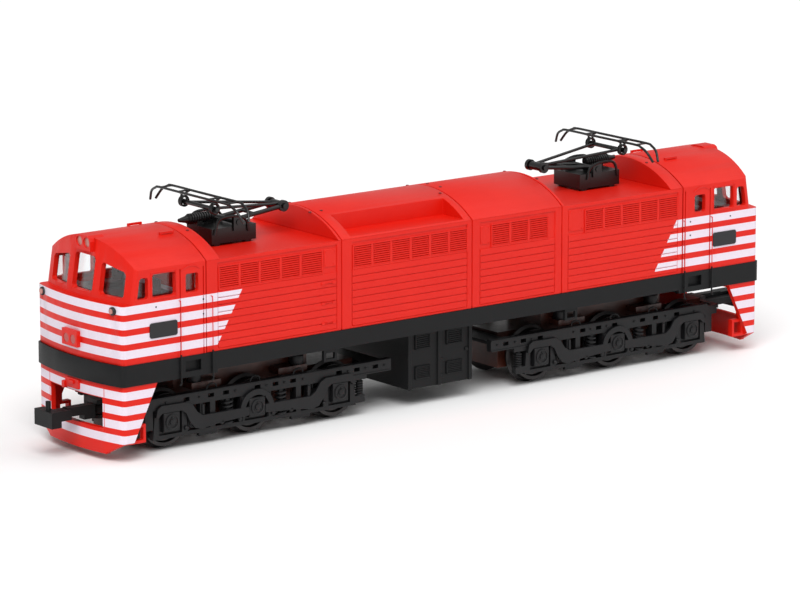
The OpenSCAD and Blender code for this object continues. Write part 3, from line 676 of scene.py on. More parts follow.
@dataclass(frozen=True)
class Clear(Finish):
    """Clear moulded glazing with faint waves."""

    roughness: float = 0.0
    uneven: float = 0.03
    cloud: float = 0.25
    cloud_detail: float = 1.0
    wave_depth: float = 0.01
    bending: float = 1.49

    def dress(self, g: Graph) -> None:
        """Adds the nodes.

        Args:
            g: the material's graph.
        """
        wave = g.noise(self.cloud, self.cloud_detail)
        g.finish({
            "Base Color": ink(*self.colour),
            "Roughness": wave * self.uneven + self.roughness,
            "Normal": g.bump(wave, self.wave_depth),
            "Transmission Weight": 1.0,
            "IOR": self.bending,
        })


class Finishes:
    """Every finish of the model."""

    RED = Livery("red_body_plastic", "red_plastic", (224, 30, 10), (216, 23, 8),
                 0.42, 0.1, 2.2, 0.004, shine=0.3)
    TRIM = Finish("plain_red_plastic", "red_plastic", (222, 29, 10), (212, 21, 8),
                  0.42, 0.1, 2.2, 0.004, shine=0.3)
    BAND = Finish("black_band_plastic", "black_plastic", (15, 16, 18), (11, 12, 13),
                  0.5, 0.12, 2.4, 0.005, shine=0.25)
    BOGIE = Finish("grey_bogie_plastic", "bogie_plastic", (24, 24, 26), (13, 13, 15),
                   0.48, 0.16, 2.6, 0.012, shine=0.35)
    PLATE = Finish("black_plate", "plate_black", (22, 21, 26), (17, 16, 20), 0.38, 0.1, 2.0, 0.004)
    WIRE = Finish("blackened_wire", "pantograph_black", (10, 9, 9), (6, 5, 6),
                  0.32, 0.12, 2.6, 0.01, 0.1, 0.15)
    CLEAR = Clear("clear_glazing", "clear", (252, 253, 254), (252, 253, 254))
    # Pale lens with a pink tint: the pale tone is the lens, the pink a painted reflection of the
    # red body round it.
    LAMP = Finish("pale_lamp_painted_reflection", "lamp_lens", (206, 150, 138), (180, 100, 90),
                  0.22, 0.1, 2.0, 0.004, coat=0.5)
    SMALL = Finish("red_lamp", "lamp_lens", (196, 50, 38), (150, 24, 18),
                   0.2, 0.1, 2.0, 0.004, coat=0.5)
    INSIDE = Finish("cab_inside", "interior", (82, 26, 28), (52, 18, 22), 0.6, 0.1, 1.2, 0.01)
    GEAR = Finish("brown_gear_housing", "gear_housing", (96, 44, 28), (44, 20, 15),
                  0.35, 0.2, 1.0, 0.02)
    WHEEL = Finish("blackened_wheel", "wheel_steel", (74, 72, 72), (52, 50, 50),
                   0.34, 0.16, 1.8, 0.006, 0.8)
    WEIGHT = Finish("grey_weight", "weight", (120, 120, 124), (96, 96, 100),
                    0.6, 0.2, 1.0, 0.02, 0.6)
    PIN = Finish("bright_pin", "pin_steel", (180, 178, 174), (140, 138, 136),
                 0.28, 0.12, 1.6, 0.004, 1.0)
    # Painted shade: the body red darkened, so that the roof screws show as dark dots of shade.
    SHADOW = Finish("painted_shade_red", "red_plastic", (118, 12, 10), (96, 9, 9),
                    0.55, 0.1, 2.2, 0.004)


# ---------------------------------------------------------------- the frame and the pieces


@dataclass(frozen=True)
class Datum:
    """Planes of the CAD model that the details are measured from."""

    rail: float = 0.8
    bow_depth: float = 2.2
    eave_step: float = 0.1

    def corner(self, node: str, high: bool, axis: int) -> float:
        """One coordinate of a node's box, above the rail where it is a height."""
        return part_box(node)[1 if high else 0][axis] / MM - (self.rail if axis == 2 else 0)

    @property
    def half(self) -> float:
        """Half the width over the hood walls."""
        return self.corner("hood_shell", True, 1)

    @property
    def deck(self) -> float:
        """Height of the pantograph decks."""
        return self.corner("hood_shell", True, 2)

    @property
    def sill(self) -> float:
        """Height where the red body stands on the sill band."""
        return self.corner("hood_shell", False, 2)

    @property
    def shift(self) -> float:
        """How far both cabs stand towards +X of the middle."""
        return (self.corner("cab_b_shell", True, 0) + self.corner("cab_a_shell", False, 0)) / 2

    @property
    def nose(self) -> float:
        """Distance from the middle of the two cabs to the foremost line of a nose."""
        return (self.corner("cab_b_shell", True, 0) - self.corner("cab_a_shell", False, 0)) / 2

    @property
    def seam(self) -> float:
        """Distance from the centre to a cab's rear wall."""
        return self.corner("cab_b_shell", False, 0)

    @property
    def crown(self) -> float:
        """Height of the roof crown."""
        return self.corner("hood_roof", True, 2)

    def arc(self, top: float, rise: float, y: Array | float) -> Array | float:
        """A circle through its highest point and through two points half the hood's width away.

        Args:
            top: the highest value.
            rise: how much lower the two points are.
            y: distance from the centre plane.

        Returns:
            top - r + sqrt(r^2 - y^2), with r the circle's radius.
        """
        r = (self.half**2 + rise**2) / (2 * rise)
        return top - r + np.sqrt(r * r - np.square(y))

    def bow(self, y: Array | float) -> Array | float:
        """Distance of the bowed nose at a distance from the centre plane."""
        return self.arc(self.nose, self.bow_depth, y)

    def roof(self, y: Array | float) -> Array | float:
        """Height of the roof arch at a distance from the centre plane."""
        return self.arc(self.crown, self.crown - self.deck - self.eave_step, y)


D = Datum()


def stand(name: str, data: bpy.types.ID) -> bpy.types.Object:
    """Puts an object into the scene.

    Args:
        name: its name.
        data: its mesh, lamp or camera.

    Returns:
        The object, at the origin.
    """
    made = bpy.data.objects.new(name, data)
    bpy.context.scene.collection.objects.link(made)
    return made


def piece(name: str, parts: Iterable[Part], finish: Finish, body: str,
          replaces: Sequence[str] = (), crease: float = 32.0) -> bpy.types.Object:
    """Makes one object of several surfaces, riding on a CAD body.

    Args:
        name: the object's name.
        parts: its surfaces, in millimetres above the rail.
        finish: its material.
        body: the CAD body that carries it.
        replaces: CAD nodes that it stands for.
        crease: the angle in degrees past which an edge stays sharp.

    Returns:
        The object, with its place in its mesh.
    """
    points, faces, start = [], [], 0
    for part in parts:
        points.append(part.points)
        faces += [row for f in part.faces for row in (f + start).tolist()]
        start += len(part.points)
    mesh = bpy.data.meshes.new(name)
    mesh.from_pydata(((np.concatenate(points) + [0, 0, D.rail]) * MM).tolist(), [], faces)
    mesh.polygons.foreach_set("use_smooth", np.ones(len(mesh.polygons), bool))
    mesh.set_sharp_from_angle(angle=math.radians(crease))
    mesh.materials.append(finish.material())
    made = stand(name, mesh)
    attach(made, body)
    if replaces:
        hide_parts(*replaces)
    LOG.info("%s: %d faces on %s", name, len(faces), body)
    return made


@dataclass
class CarriedNodes:
    """The CAD nodes that stay in view: each gets its finish, and moulded edges are eased."""

    weld: float = 1e-6
    segments: int = 2
    sharp: float = 40.0

    def table(self) -> dict[str, tuple[Finish, float]]:
        """Each node's finish and the width of its eased edges.

        Returns:
            The pairs by node name; a width of 0 leaves the edges as they are.
        """
        f = Finishes
        found = {
            "hood_shell": (f.RED, 0.2), "hood_roof": (f.RED, 0.35), "deck_ribs": (f.RED, 0.3),
            # The headlight lenses and marker lamps take the pale lens whose pink is a painted
            # reflection of the red body.
            "headlights": (f.TRIM, 0.3), "headlight_lenses": (f.LAMP, 0),
            "nose_lamps": (f.TRIM, 0.25), "nose_lamp_lenses": (f.SMALL, 0),
            "marker_lamps": (f.LAMP, 0.1), "number_plates": (f.PLATE, 0.1),
            "roof_fittings": (f.TRIM, 0.08), "underframe": (f.BAND, 0.15),
            "ballast_block": (f.WEIGHT, 0.2), "equipment_box": (f.BAND, 0.15),
            "footsteps": (f.TRIM, 0.1), "handrails": (f.BAND, 0), "side_ladders": (f.BAND, 0.1),
            "king_pins": (f.PIN, 0.1),
        }
        for s in "ab":
            found |= {
                f"cab_{s}_shell": (f.RED, 0.3), f"cab_{s}_glass": (f.CLEAR, 0),
                f"cab_{s}_interior": (f.INSIDE, 0.1), f"pilot_{s}": (f.RED, 0.25),
                f"bogie_{s}_gearbox": (f.GEAR, 0.3), f"coupler_{s}": (f.BAND, 0.15),
            }
            found |= {f"bogie_{s}_{part}": (f.BOGIE, 0.14)
                      for part in ("frame", "equalizers", "springs", "fittings")}
            found |= {f"panto_{s}_{part}": (f.WIRE, 0)
                      for part in ("base", "lower_arm", "upper_arm", "head")}
            found |= {f"wheelset_{s}{i}": (f.WHEEL, 0) for i in (1, 2, 3)}
        return found

    def dress(self) -> None:
        """Gives each node its material, and a live weld and bevel where its edges are eased."""
        table = self.table()
        for name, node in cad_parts.items():
            finish, ease = table[name]
            node.data.materials.clear()
            node.data.materials.append(finish.material())
            if ease:
                weld = node.modifiers.new("weld", "WELD")
                weld.merge_threshold = self.weld
                bevel = node.modifiers.new("ease", "BEVEL")
                bevel.width = ease * MM
                bevel.segments = self.segments
                bevel.limit_method = "ANGLE"
                bevel.angle_limit = math.radians(self.sharp)
                bevel.use_clamp_overlap = True
                bevel.harden_normals = True
            LOG.info("%s: carried, %s", name, finish.name)


@dataclass
class Hood:
    """Louvres, lapped boards, blank covers and latches on the long hood's two walls.

    A sunk height lies below the plane of the wall and a proud one above it. root is how deep
    a raised piece is let in, and bed is how far one reaches below the floor of its recess. A
    screw is given by radius, height and bevel, the rod of a latch by half its width, height and
    bevel, and its lugs by half their length, half their width, height and bevel.
    """

    wall: float = D.half
    panel_depth: float = 0.25
    bed: float = 0.05
    root: float = 0.1
    soft: float = 0.12
    panels: tuple[Span, ...] = ((-66.5, -33.5), (-29.3, 4.0), (7.7, 30.2), (34.1, 68.1))

    louvres: tuple[tuple[float, float, Row], ...] = (
        (-65.9, -37.7, (-60.4, -54.9, -49.1, -43.6)),
        (-28.7, 3.9, (-23.4, -18.0, -12.4, -6.8, -1.3)),
        (11.4, 27.9, (16.8, 22.3)),
        (39.5, 67.8, (45.1, 50.6, 56.3, 61.9)),
    )
    louvre_z: Span = (35.2, 40.1)
    louvre_depth: float = 0.55
    slats: int = 10
    slat_root: float = 0.02
    slat_sunk: float = 0.08
    slat_rise: Row = (0.0, 0.08, 0.6, 0.98)
    bar: float = 0.3
    bar_sunk: float = 0.04
    rim: float = 0.32
    rim_proud: float = 0.02

    boards: int = 8
    board: float = 1.42
    board_pitch: float = 1.64
    board_top: float = 35.05
    board_gap: float = 0.2
    board_end: float = 0.15
    board_sunk: float = 0.02
    board_cut: Span = (0.08, 0.1)

    blanks: tuple[Row, ...] = (
        (-37.0, -33.7, 36.3, 40.5), (8.0, 10.8, 35.9, 40.3), (34.4, 38.8, 35.7, 40.8))
    blank_sunk: float = 0.06
    blank_ease: float = 0.1
    screw: Row = (0.22, 0.06, 0.05)
    margin: float = 0.5
    latches: Row = (32.6, 28.1, 23.5)
    latch_x: Span = (-37.9, -33.8)
    latch_rod: Row = (0.12, 0.1, 0.04)
    latch_lug: Row = (0.45, 0.3, 0.16, 0.06)

    def plate(self, x0: float, x1: float, z0: float, z1: float, deep: float, proud: float,
              ease: float = 0.06) -> Part:
        """A flat plate on the near wall, corners softened.

        Args:
            x0: its left side.
            x1: its right side.
            z0: its foot.
            z1: its top.
            deep: how far below the wall plane its back lies.
            proud: how far above the wall plane its face lies.
            ease: bevel of its edges.

        Returns:
            The plate.
        """
        outline = soft_rect(x0, x1, z0, z1, self.soft, n=2)
        return extrude(outline, Axis.Y, -self.wall + deep, -self.wall - proud, ease)

    def slat(self, x0: float, x1: float, z: float, rise: float) -> Part:
        """One leaning slat: a wedge section carried along the hood.

        Args:
            x0: one end.
            x1: the other end.
            z: its foot.
            rise: the pitch of the slats, which the section's heights are parts of.

        Returns:
            The slat.
        """
        back = -self.wall + self.louvre_depth + self.slat_root
        face = -self.wall + self.slat_sunk
        depths = (back, face, face, back)
        return extrude([(y, z + rise * part) for y, part in zip(depths, self.slat_rise)],
                       Axis.X, x0, x1)

    def louvre(self, x0: float, x1: float, bars: Sequence[float]) -> list[Part]:
        """One group of louvres with its bars and raised rim.

        Args:
            x0: one end.
            x1: the other end.
            bars: the places of the upright bars.

        Returns:
            Its surfaces.
        """
        z0, z1 = self.louvre_z
        rise = (z1 - z0) / self.slats
        stops = [x0, *bars, x1]
        parts = [self.slat(a, b, z0 + i * rise, rise)
                 for a, b in zip(stops, stops[1:]) for i in range(self.slats)]
        parts += [self.plate(b - self.bar, b + self.bar, z0, z1, self.louvre_depth, -self.bar_sunk)
                  for b in bars]
        w = self.rim
        parts += [self.plate(*strip, self.panel_depth + self.bed, self.rim_proud)
                  for strip in strips(x0 - w, x1 + w, z0 - w, z1 + w, w)]
        return parts

    def lapped(self, x0: float, x1: float) -> list[Part]:
        """The stack of flat boards below the louvres.

        Args:
            x0: one end of the panel.
            x1: the other end.

        Returns:
            The boards, from the top.
        """
        made = []
        back, face = -self.wall + self.panel_depth + self.bed, -self.wall + self.board_sunk
        y, cut = face + self.board_cut[0], self.board_cut[1]
        for i in range(self.boards):
            top = self.board_top - self.board_gap - i * self.board_pitch
            low = top - self.board
            section = [(back, low), (y, low), (face, low + cut), (face, top - cut), (y, top),
                       (back, top)]
            made.append(extrude(section, Axis.X, x0 + self.board_end, x1 - self.board_end))
        return made

    def covers(self) -> list[Part]:
        """The blank covers with a screw in each corner, and the rod latches.

        Returns:
            Their surfaces.
        """
        r, proud, ease = self.screw
        made = [self.plate(*b, self.panel_depth + self.bed, -self.blank_sunk, self.blank_ease)
                for b in self.blanks]
        for x0, x1, z0, z1 in self.blanks:
            made += [extrude(circle(x, z, r, n=8), Axis.Y, -self.wall + self.root,
                             -self.wall - proud, ease)
                     for x in (x0 + self.margin, x1 - self.margin)
                     for z in (z0 + self.margin, z1 - self.margin)]
        a, b = self.latch_x
        half, *raised = self.latch_rod
        long, tall, *lug = self.latch_lug
        for z in self.latches:
            made.append(self.plate(a, b, z - half, z + half, self.root, *raised))
            made += [self.plate(x - long, x + long, z - tall, z + tall, self.root, *lug)
                     for x in (a + self.margin, b - self.margin)]
        return made

    def build(self) -> None:
        """Makes the pieces of both walls."""
        slats = [p for x0, x1, bars in self.louvres for p in self.louvre(x0, x1, bars)]
        piece("hood_louvres", both_sides(slats), Finishes.RED, "body")
        boards = [p for x0, x1 in self.panels for p in self.lapped(x0, x1)]
        piece("hood_boards", both_sides(boards), Finishes.RED, "body")
        piece("hood_covers", both_sides(self.covers()), Finishes.RED, "body")


@dataclass
class Roof:
    """Fixing screws on the roof, each a low round head that stands on the arch, coloured a darker
    red as painted shade.
    """

    screws: tuple[Span, ...] = (
        (-67.1, 6.0), (-33.2, 6.0), (-30.0, 6.0), (4.2, 6.1), (7.2, 2.4), (33.2, 6.0), (67.1, 6.0))
    head: Profile = ((0.38, 0), (0.38, 0.16), (0.3, 0.24), (0.12, 0.26))
    seat: float = 0.1

    def build(self) -> None:
        """Makes the screws."""
        heads = [lathe(self.head, Axis.Z, (x, -y, float(D.roof(y)) - self.seat), n=12)
                 for x, y in self.screws]
        # The screw heads take the darker red of painted shade, not the body red.
        piece("roof_screws", both_sides(heads), Finishes.SHADOW, "body")


@dataclass
class Cab:
    """Trim of the two cabs, their noses and their pilots.

    It is drawn at the +X end from the middle of the cabs, and the same at the other end. A
    front plate is given by its outline (y0, y1, z0, z1, corner), depth and height. The rods and
    hooks of the handrails are given from the top and the foot of the CAD rails.
    """

    wall: float = D.half
    root: float = 0.1
    window: Row = (78.35, 85.25, 35.1, 41.3)
    window_frame: float = 0.26
    window_proud: float = 0.12
    window_ease: float = 0.04
    gutter_x: Span = (72.2, 77.2)
    gutter_z: float = 40.7
    gutter_rise: float = 0.9
    gutter_proud: float = 0.02
    gutter_radius: float = 0.16
    gutter_steps: int = 13
    studs: tuple[Span, ...] = ((83.9, 33.5), (71.2, 33.6), (71.2, 30.3))
    stud: Profile = ((0.2, 0), (0.2, 0.1), (0.12, 0.16))
    stud_root: float = 0.04
    plate: Row = (78.3, 85.7, 26.6, 30.0)
    plate_corner: float = 0.55
    plate_depths: Span = (-0.05, 0.28)
    plate_ease: float = 0.08

    marker: Span = (13.6, 33.3)
    ring: Profile = ((0.95, -0.4), (0.95, 0.35), (0.86, 0.52), (0.68, 0.56), (0.62, 0.3))
    front_plates: tuple[tuple[Row, float, float], ...] = (
        ((-2.6, 2.6, 14.0, 16.2, 0.3), 0.4, 0.5),
        ((2.3, 3.5, 13.6, 15.2, 0.25), 0.4, 0.9),
        ((-1.0, 1.0, 15.0, 15.8, 0.2), 0.3, 0.85),
    )
    front_ease: float = 0.06
    seams_y: Row = (-10.6, 10.6)
    seam_half: float = 0.09
    seam_z: Span = (6.0, 16.3)
    seam_corner: float = 0.05
    seam_depths: Span = (0.2, 0.06)

    rails_x: Span = (D.seam - D.shift + 0.15, 77.7)
    rail_stand: float = 0.6
    rod_radius: float = 0.1
    rod_foot: float = 0.2
    rod_top: Line = ((0, 0, -1.5), (0, -0.15, -0.5), (0, -0.6, -0.3))
    hook_radius: float = 0.2
    hook_top: float = 0.6
    hook_foot: Line = ((0, 0, 2), (0, 0, 0.3), (0.5, 0, 0.02))
    hook_tie: tuple[float, Span] = (0.15, (2.6, 2.9))

    def ends(self, parts: Iterable[Part], sides: bool = True) -> list[Part]:
        """Repeats trim at both ends and moves it with the cabs.

        Args:
            parts: the surfaces at the +X end.
            sides: whether they are on both sides as well.

        Returns:
            All the surfaces.
        """
        found = both_ends(both_sides(parts) if sides else parts)
        return [p.moved(x=D.shift) for p in found]

    def bowed(self, outline: Array, deep: float, proud: float) -> Part:
        """A plate that follows the bowed nose.

        Args:
            outline: points (n, 2) across and up.
            deep: how far its back lies behind the nose.
            proud: how far its face lies in front of it.

        Returns:
            The plate, with a bevel round its face.
        """
        small, face = inset(outline, self.front_ease), D.bow(outline[:, 0])
        rings = [Axis.X.place(outline, face - deep),
                 Axis.X.place(outline, face + proud - self.front_ease),
                 Axis.X.place(small, D.bow(small[:, 0]) + proud)]
        return skin(np.stack(rings))

    def sides(self) -> None:
        """Makes window frames, gutters, studs and blank plates."""
        low, high = -self.wall + self.root, -self.wall - self.window_proud
        trim = [box((a, low, c), (b, high, d), self.window_ease)
                for a, b, c, d in strips(*self.window, self.window_frame)]
        t = np.linspace(0, 1, self.gutter_steps)
        x0, x1 = self.gutter_x
        line = np.stack([x0 + (x1 - x0) * t, np.full(len(t), -self.wall - self.gutter_proud),
                         self.gutter_z + self.gutter_rise * np.sin(np.pi * t)], 1)
        trim.append(tube(line, self.gutter_radius, sides=6, up=ACROSS))
        piece("cab_trim", self.ends(trim), Finishes.TRIM, "body")
        studs = [lathe(self.stud, Axis.Y, (x, self.wall - self.stud_root, z), n=8)
                 for x, z in self.studs]
        piece("side_studs", self.ends(studs), Finishes.PLATE, "body")
        low, high = self.plate_depths
        blank = extrude(soft_rect(*self.plate, self.plate_corner, n=5), Axis.Y, self.wall + low,
                        self.wall + high, self.plate_ease)
        piece("blank_plates", self.ends([blank]), Finishes.PLATE, "body", ["number_plates"])

    def front(self) -> None:
        """Makes the lamp rings, the plate over the coupler and the pilot's seams."""
        y, z = self.marker
        ring = lathe(self.ring, Axis.X, (float(D.bow(y)), y, z), n=18)
        piece("marker_rings", self.ends([ring]), Finishes.PLATE, "body")
        trim = [self.bowed(soft_rect(*outline), deep, proud)
                for outline, deep, proud in self.front_plates]
        w = self.seam_half
        trim += [self.bowed(soft_rect(y - w, y + w, *self.seam_z, self.seam_corner, n=2),
                            *self.seam_depths) for y in self.seams_y]
        piece("pilot_trim", self.ends(trim, False), Finishes.TRIM, "body")

    def rails(self) -> None:
        """Makes the upright handrails: thin rods above the band, thick hooks across it."""
        lo, hi = D.corner("handrails", False, 2), D.corner("handrails", True, 2)
        y = self.wall + self.rail_stand
        half, (z0, z1) = self.hook_tie
        rods, hooks = [], []
        for x in self.rails_x:
            line = [(x, y, D.sill + self.rod_foot), *np.add((x, y, hi), self.rod_top)]
            rods.append(tube(smooth_path(line, steps=4), self.rod_radius, sides=6, up=ACROSS))
            hook = [(x, y, D.sill + self.hook_top), *np.add((x, y, lo), self.hook_foot)]
            hooks.append(tube(smooth_path(hook, steps=4), self.hook_radius, up=ACROSS))
            hooks.append(box((x - half, self.wall, lo + z0), (x + half, y, lo + z1)))
        piece("handrail_rods", self.ends(rods), Finishes.TRIM, "body", ["handrails"])
        piece("handrail_hooks", self.ends(hooks), Finishes.BAND, "body", ["handrails"])

    def build(self) -> None:
        """Makes all the trim."""
        self.sides()
        self.front()
        self.rails()


@dataclass
class EquipmentBox:
    """Grilles and fasteners on the two faces of the box between the bogies."""

    grilles: tuple[Span, ...] = ((-8.2, -3.8), (0.9, 5.6))
    heights: tuple[Span, ...] = ((12.8, 16.3), (5.8, 8.8))
    recess: float = 0.4
    root: float = 0.1
    rim: float = 0.3
    rim_proud: float = 0.35
    rim_ease: float = 0.06
    bars: int = 6
    bar_half: float = 0.14
    bar_proud: float = 0.24
    bar_ease: float = 0.05
    knobs: tuple[Span, ...] = ((-0.3, 9.4), (-0.3, 5.6), (6.9, 11.0), (-10.0, 11.0))
    knob: Profile = ((0.5, -0.1), (0.5, 0.2), (0.34, 0.34))

    def grille(self, x0: float, x1: float, z0: float, z1: float, face: float) -> list[Part]:
        """One grille: a rim and its level bars.

        Args:
            x0: its left side.
            x1: its right side.
            z0: its foot.
            z1: its top.
            face: the plane it stands on.

        Returns:
            Its surfaces.
        """
        w, back = self.rim, face - self.root
        rim = ((x0, x1, z1 - w, z1), (x0, x1, z0, z0 + w), (x0, x0 + w, z0, z1),
               (x1 - w, x1, z0, z1))
        parts = [box((a, back, c), (b, face + self.rim_proud, d), self.rim_ease)
                 for a, b, c, d in rim]
        pitch = (z1 - z0 - 2 * w) / self.bars
        for i in range(self.bars):
            z = z0 + w + (i + 0.5) * pitch
            parts.append(box((x0 + w, back, z - self.bar_half),
                             (x1 - w, face + self.bar_proud, z + self.bar_half), self.bar_ease))
        return parts

    def build(self) -> None:
        """Makes the grilles and the round fasteners."""
        face = D.corner("equipment_box", True, 1) - self.recess
        parts = [p for x in self.grilles for z in self.heights for p in self.grille(*x, *z, face)]
        parts += [lathe(self.knob, Axis.Y, (x, face, z), n=12) for x, z in self.knobs]
        piece("box_grilles", both_sides(parts), Finishes.BAND, "body")


@dataclass
class Bogie:
    """Cast detail on one bogie's two side frames.

    It is drawn at the +X end, with u running outwards from the pivot. The depths of rims,
    blocks, hooks and pipes count from the face of the side frame. A spring is given by the
    radius of its coil, the radius of its wire and its height, and its core by radius and height.
    """

    end: int
    pivot: float = 53.0
    gap: float = 23.4
    axle: float = 6.0
    face: float = 12.0
    top: float = 11.7

    cover_face: float = 12.35
    cover: float = 2.15
    cover_corner: float = 0.5
    cover_thick: float = 0.3
    cover_ease: float = 0.12
    hub: Profile = ((1.75, 0.2), (1.75, 0.5), (1.55, 0.6), (1.35, 0.58), (1.3, 0.4), (0.75, 0.4),
                    (0.7, 0.62), (0.4, 0.7))
    bolts: int = 3
    bolt_circle: float = 1.02
    bolt: Profile = ((0.24, 0.3), (0.24, 0.55), (0.14, 0.62))

    spring_depth: float = 0.75
    springs_u: Row = (-7.4, 7.4)
    spring: Row = (1.1, 0.3, 5.6)
    spring_foot: float = 3.2
    core: Span = (0.7, 5.6)
    end_spring_out: float = 6.2
    end_spring: Row = (0.75, 0.24, 3.4)
    end_spring_foot: float = 4.3
    end_core: Span = (0.5, 3.5)
    end_core_foot: float = 4.25
    turns: int = 6

    rims: tuple[tuple[Span, Row, float], ...] = (
        ((-38.2, 28.4), (0.2, -0.3, -0.02), 0.06), ((-38.2, -26), (0.16, -2.8, -2.5), 0.05))
    root: float = 0.05
    rivets_u: Row = (-36.4, -31, -26, -13.2, -8, -3, 5.6, 15.5, 24.6)
    rivet: Profile = ((0.26, 0), (0.26, 0.28), (0.16, 0.36))
    rivet_drop: float = 1.35
    posts_u: Row = (-14.6, -3.6, 3.6, 14.6)
    post: Block = Block(0.3, (-0.1, 0.35), (3.2, 8.7), 0.08)
    hooks_u: Row = (-12, 0, 12)
    hook: Line = ((-1.5, -0.6, -0.2), (-1.3, -0.5, 0.8), (-0.3, -0.5, 1.2), (0.8, -0.5, 0.8),
                  (1.3, -0.5, -0.2))
    hook_radius: float = 0.2
    rods_u: Row = (-17.2, -12.0, 12.0, 17.2)
    brake_rod: Line = ((0, -1.9, 10.4), (0, -1.9, 3.0))
    rod_radius: float = 0.35
    shoe: Block = Block(0.7, (-2.6, -1.4), (4.6, 7.4), 0.2)
    bosses_u: Row = (-19.0, -9.6, -4.6, 4.6, 9.6, 19.2)
    boss: Profile = ((0.55, 0), (0.55, 1.0), (0.35, 1.3))
    boss_place: Span = (-0.6, 3.9)
    pipe: Line = ((26.4, -1.8, 11.2), (27.0, -1.6, 8.8), (27.6, -1.6, 5.5), (26.6, -2.4, 2.8))
    pipe_radius: float = 0.26

    def covers(self) -> list[Part]:
        """The axle box covers: each a raised rounded square, ring, hub and bolts.

        Returns:
            Their surfaces.
        """
        y, z, r = self.cover_face, self.axle, self.cover
        parts = []
        for u in (-self.gap, 0, self.gap):
            outline = soft_rect(u - r, u + r, z - r, z + r, self.cover_corner)
            parts.append(extrude(outline, Axis.Y, y, y + self.cover_thick, self.cover_ease))
            parts.append(lathe(self.hub, Axis.Y, (u, y, z)))
            for k in range(self.bolts):
                a = math.pi / 2 + k * math.tau / self.bolts
                at = (u + self.bolt_circle * math.cos(a), y, z + self.bolt_circle * math.sin(a))
                parts.append(lathe(self.bolt, Axis.Y, at, n=6))
        return parts

    def springs(self) -> list[Part]:
        """The coil springs of a side frame, each round a dark core.

        Returns:
            Their surfaces.
        """
        y = self.face - self.spring_depth
        parts = []
        for u in self.springs_u:
            at = (u, y, self.spring_foot)
            parts += [coil(at, *self.spring, self.turns), rod(*self.core, at, n=12)]
        u = -self.gap - self.end_spring_out
        parts.append(coil((u, y, self.end_spring_foot), *self.end_spring, self.turns))
        parts.append(rod(*self.end_core, (u, y, self.end_core_foot), n=10))
        return parts

    def castings(self) -> list[Part]:
        """Rims, rivets, posts, hooks, brake rods with their shoes, bosses and the sand pipe.

        Returns:
            Their surfaces.
        """
        y, t = self.face, self.top
        parts = [box((u0, y - self.root, t + z0), (u1, y + proud, t + z1), ease)
                 for (u0, u1), (proud, z0, z1), ease in self.rims]
        parts += [lathe(self.rivet, Axis.Y, (u, y - self.root, t - self.rivet_drop), n=6)
                  for u in self.rivets_u]
        parts += [self.post.at(u, y) for u in self.posts_u]
        for u in self.hooks_u:
            hook = smooth_path(np.add((u, y, t), self.hook), steps=6)
            parts.append(tube(hook, self.hook_radius, sides=6, up=ACROSS))
        for u in self.rods_u:
            line = np.add((u, y, 0), self.brake_rod)
            parts.append(tube(line, self.rod_radius, sides=6, up=ACROSS))
            parts.append(self.shoe.at(u, y))
        depth, z = self.boss_place
        parts += [lathe(self.boss, Axis.Y, (u, y + depth, z), n=10) for u in self.bosses_u]
        pipe = smooth_path(np.add((0, y, 0), self.pipe), steps=6)
        return parts + [tube(pipe, self.pipe_radius, sides=6, up=ACROSS)]

    def build(self) -> None:
        """Makes the bogie's pieces."""
        body = "bogie_a" if self.end < 0 else "bogie_b"
        for name, parts, hidden in (("covers", self.covers(), ()),
                                    ("coils", self.springs(), (f"{body}_springs",)),
                                    ("castings", self.castings(), ())):
            placed = [p.moved(x=self.pivot) for p in both_sides(parts)]
            if self.end < 0:
                placed = [p.mirrored(0) for p in placed]
            piece(f"{body}_{name}", placed, Finishes.BOGIE, body, hidden)


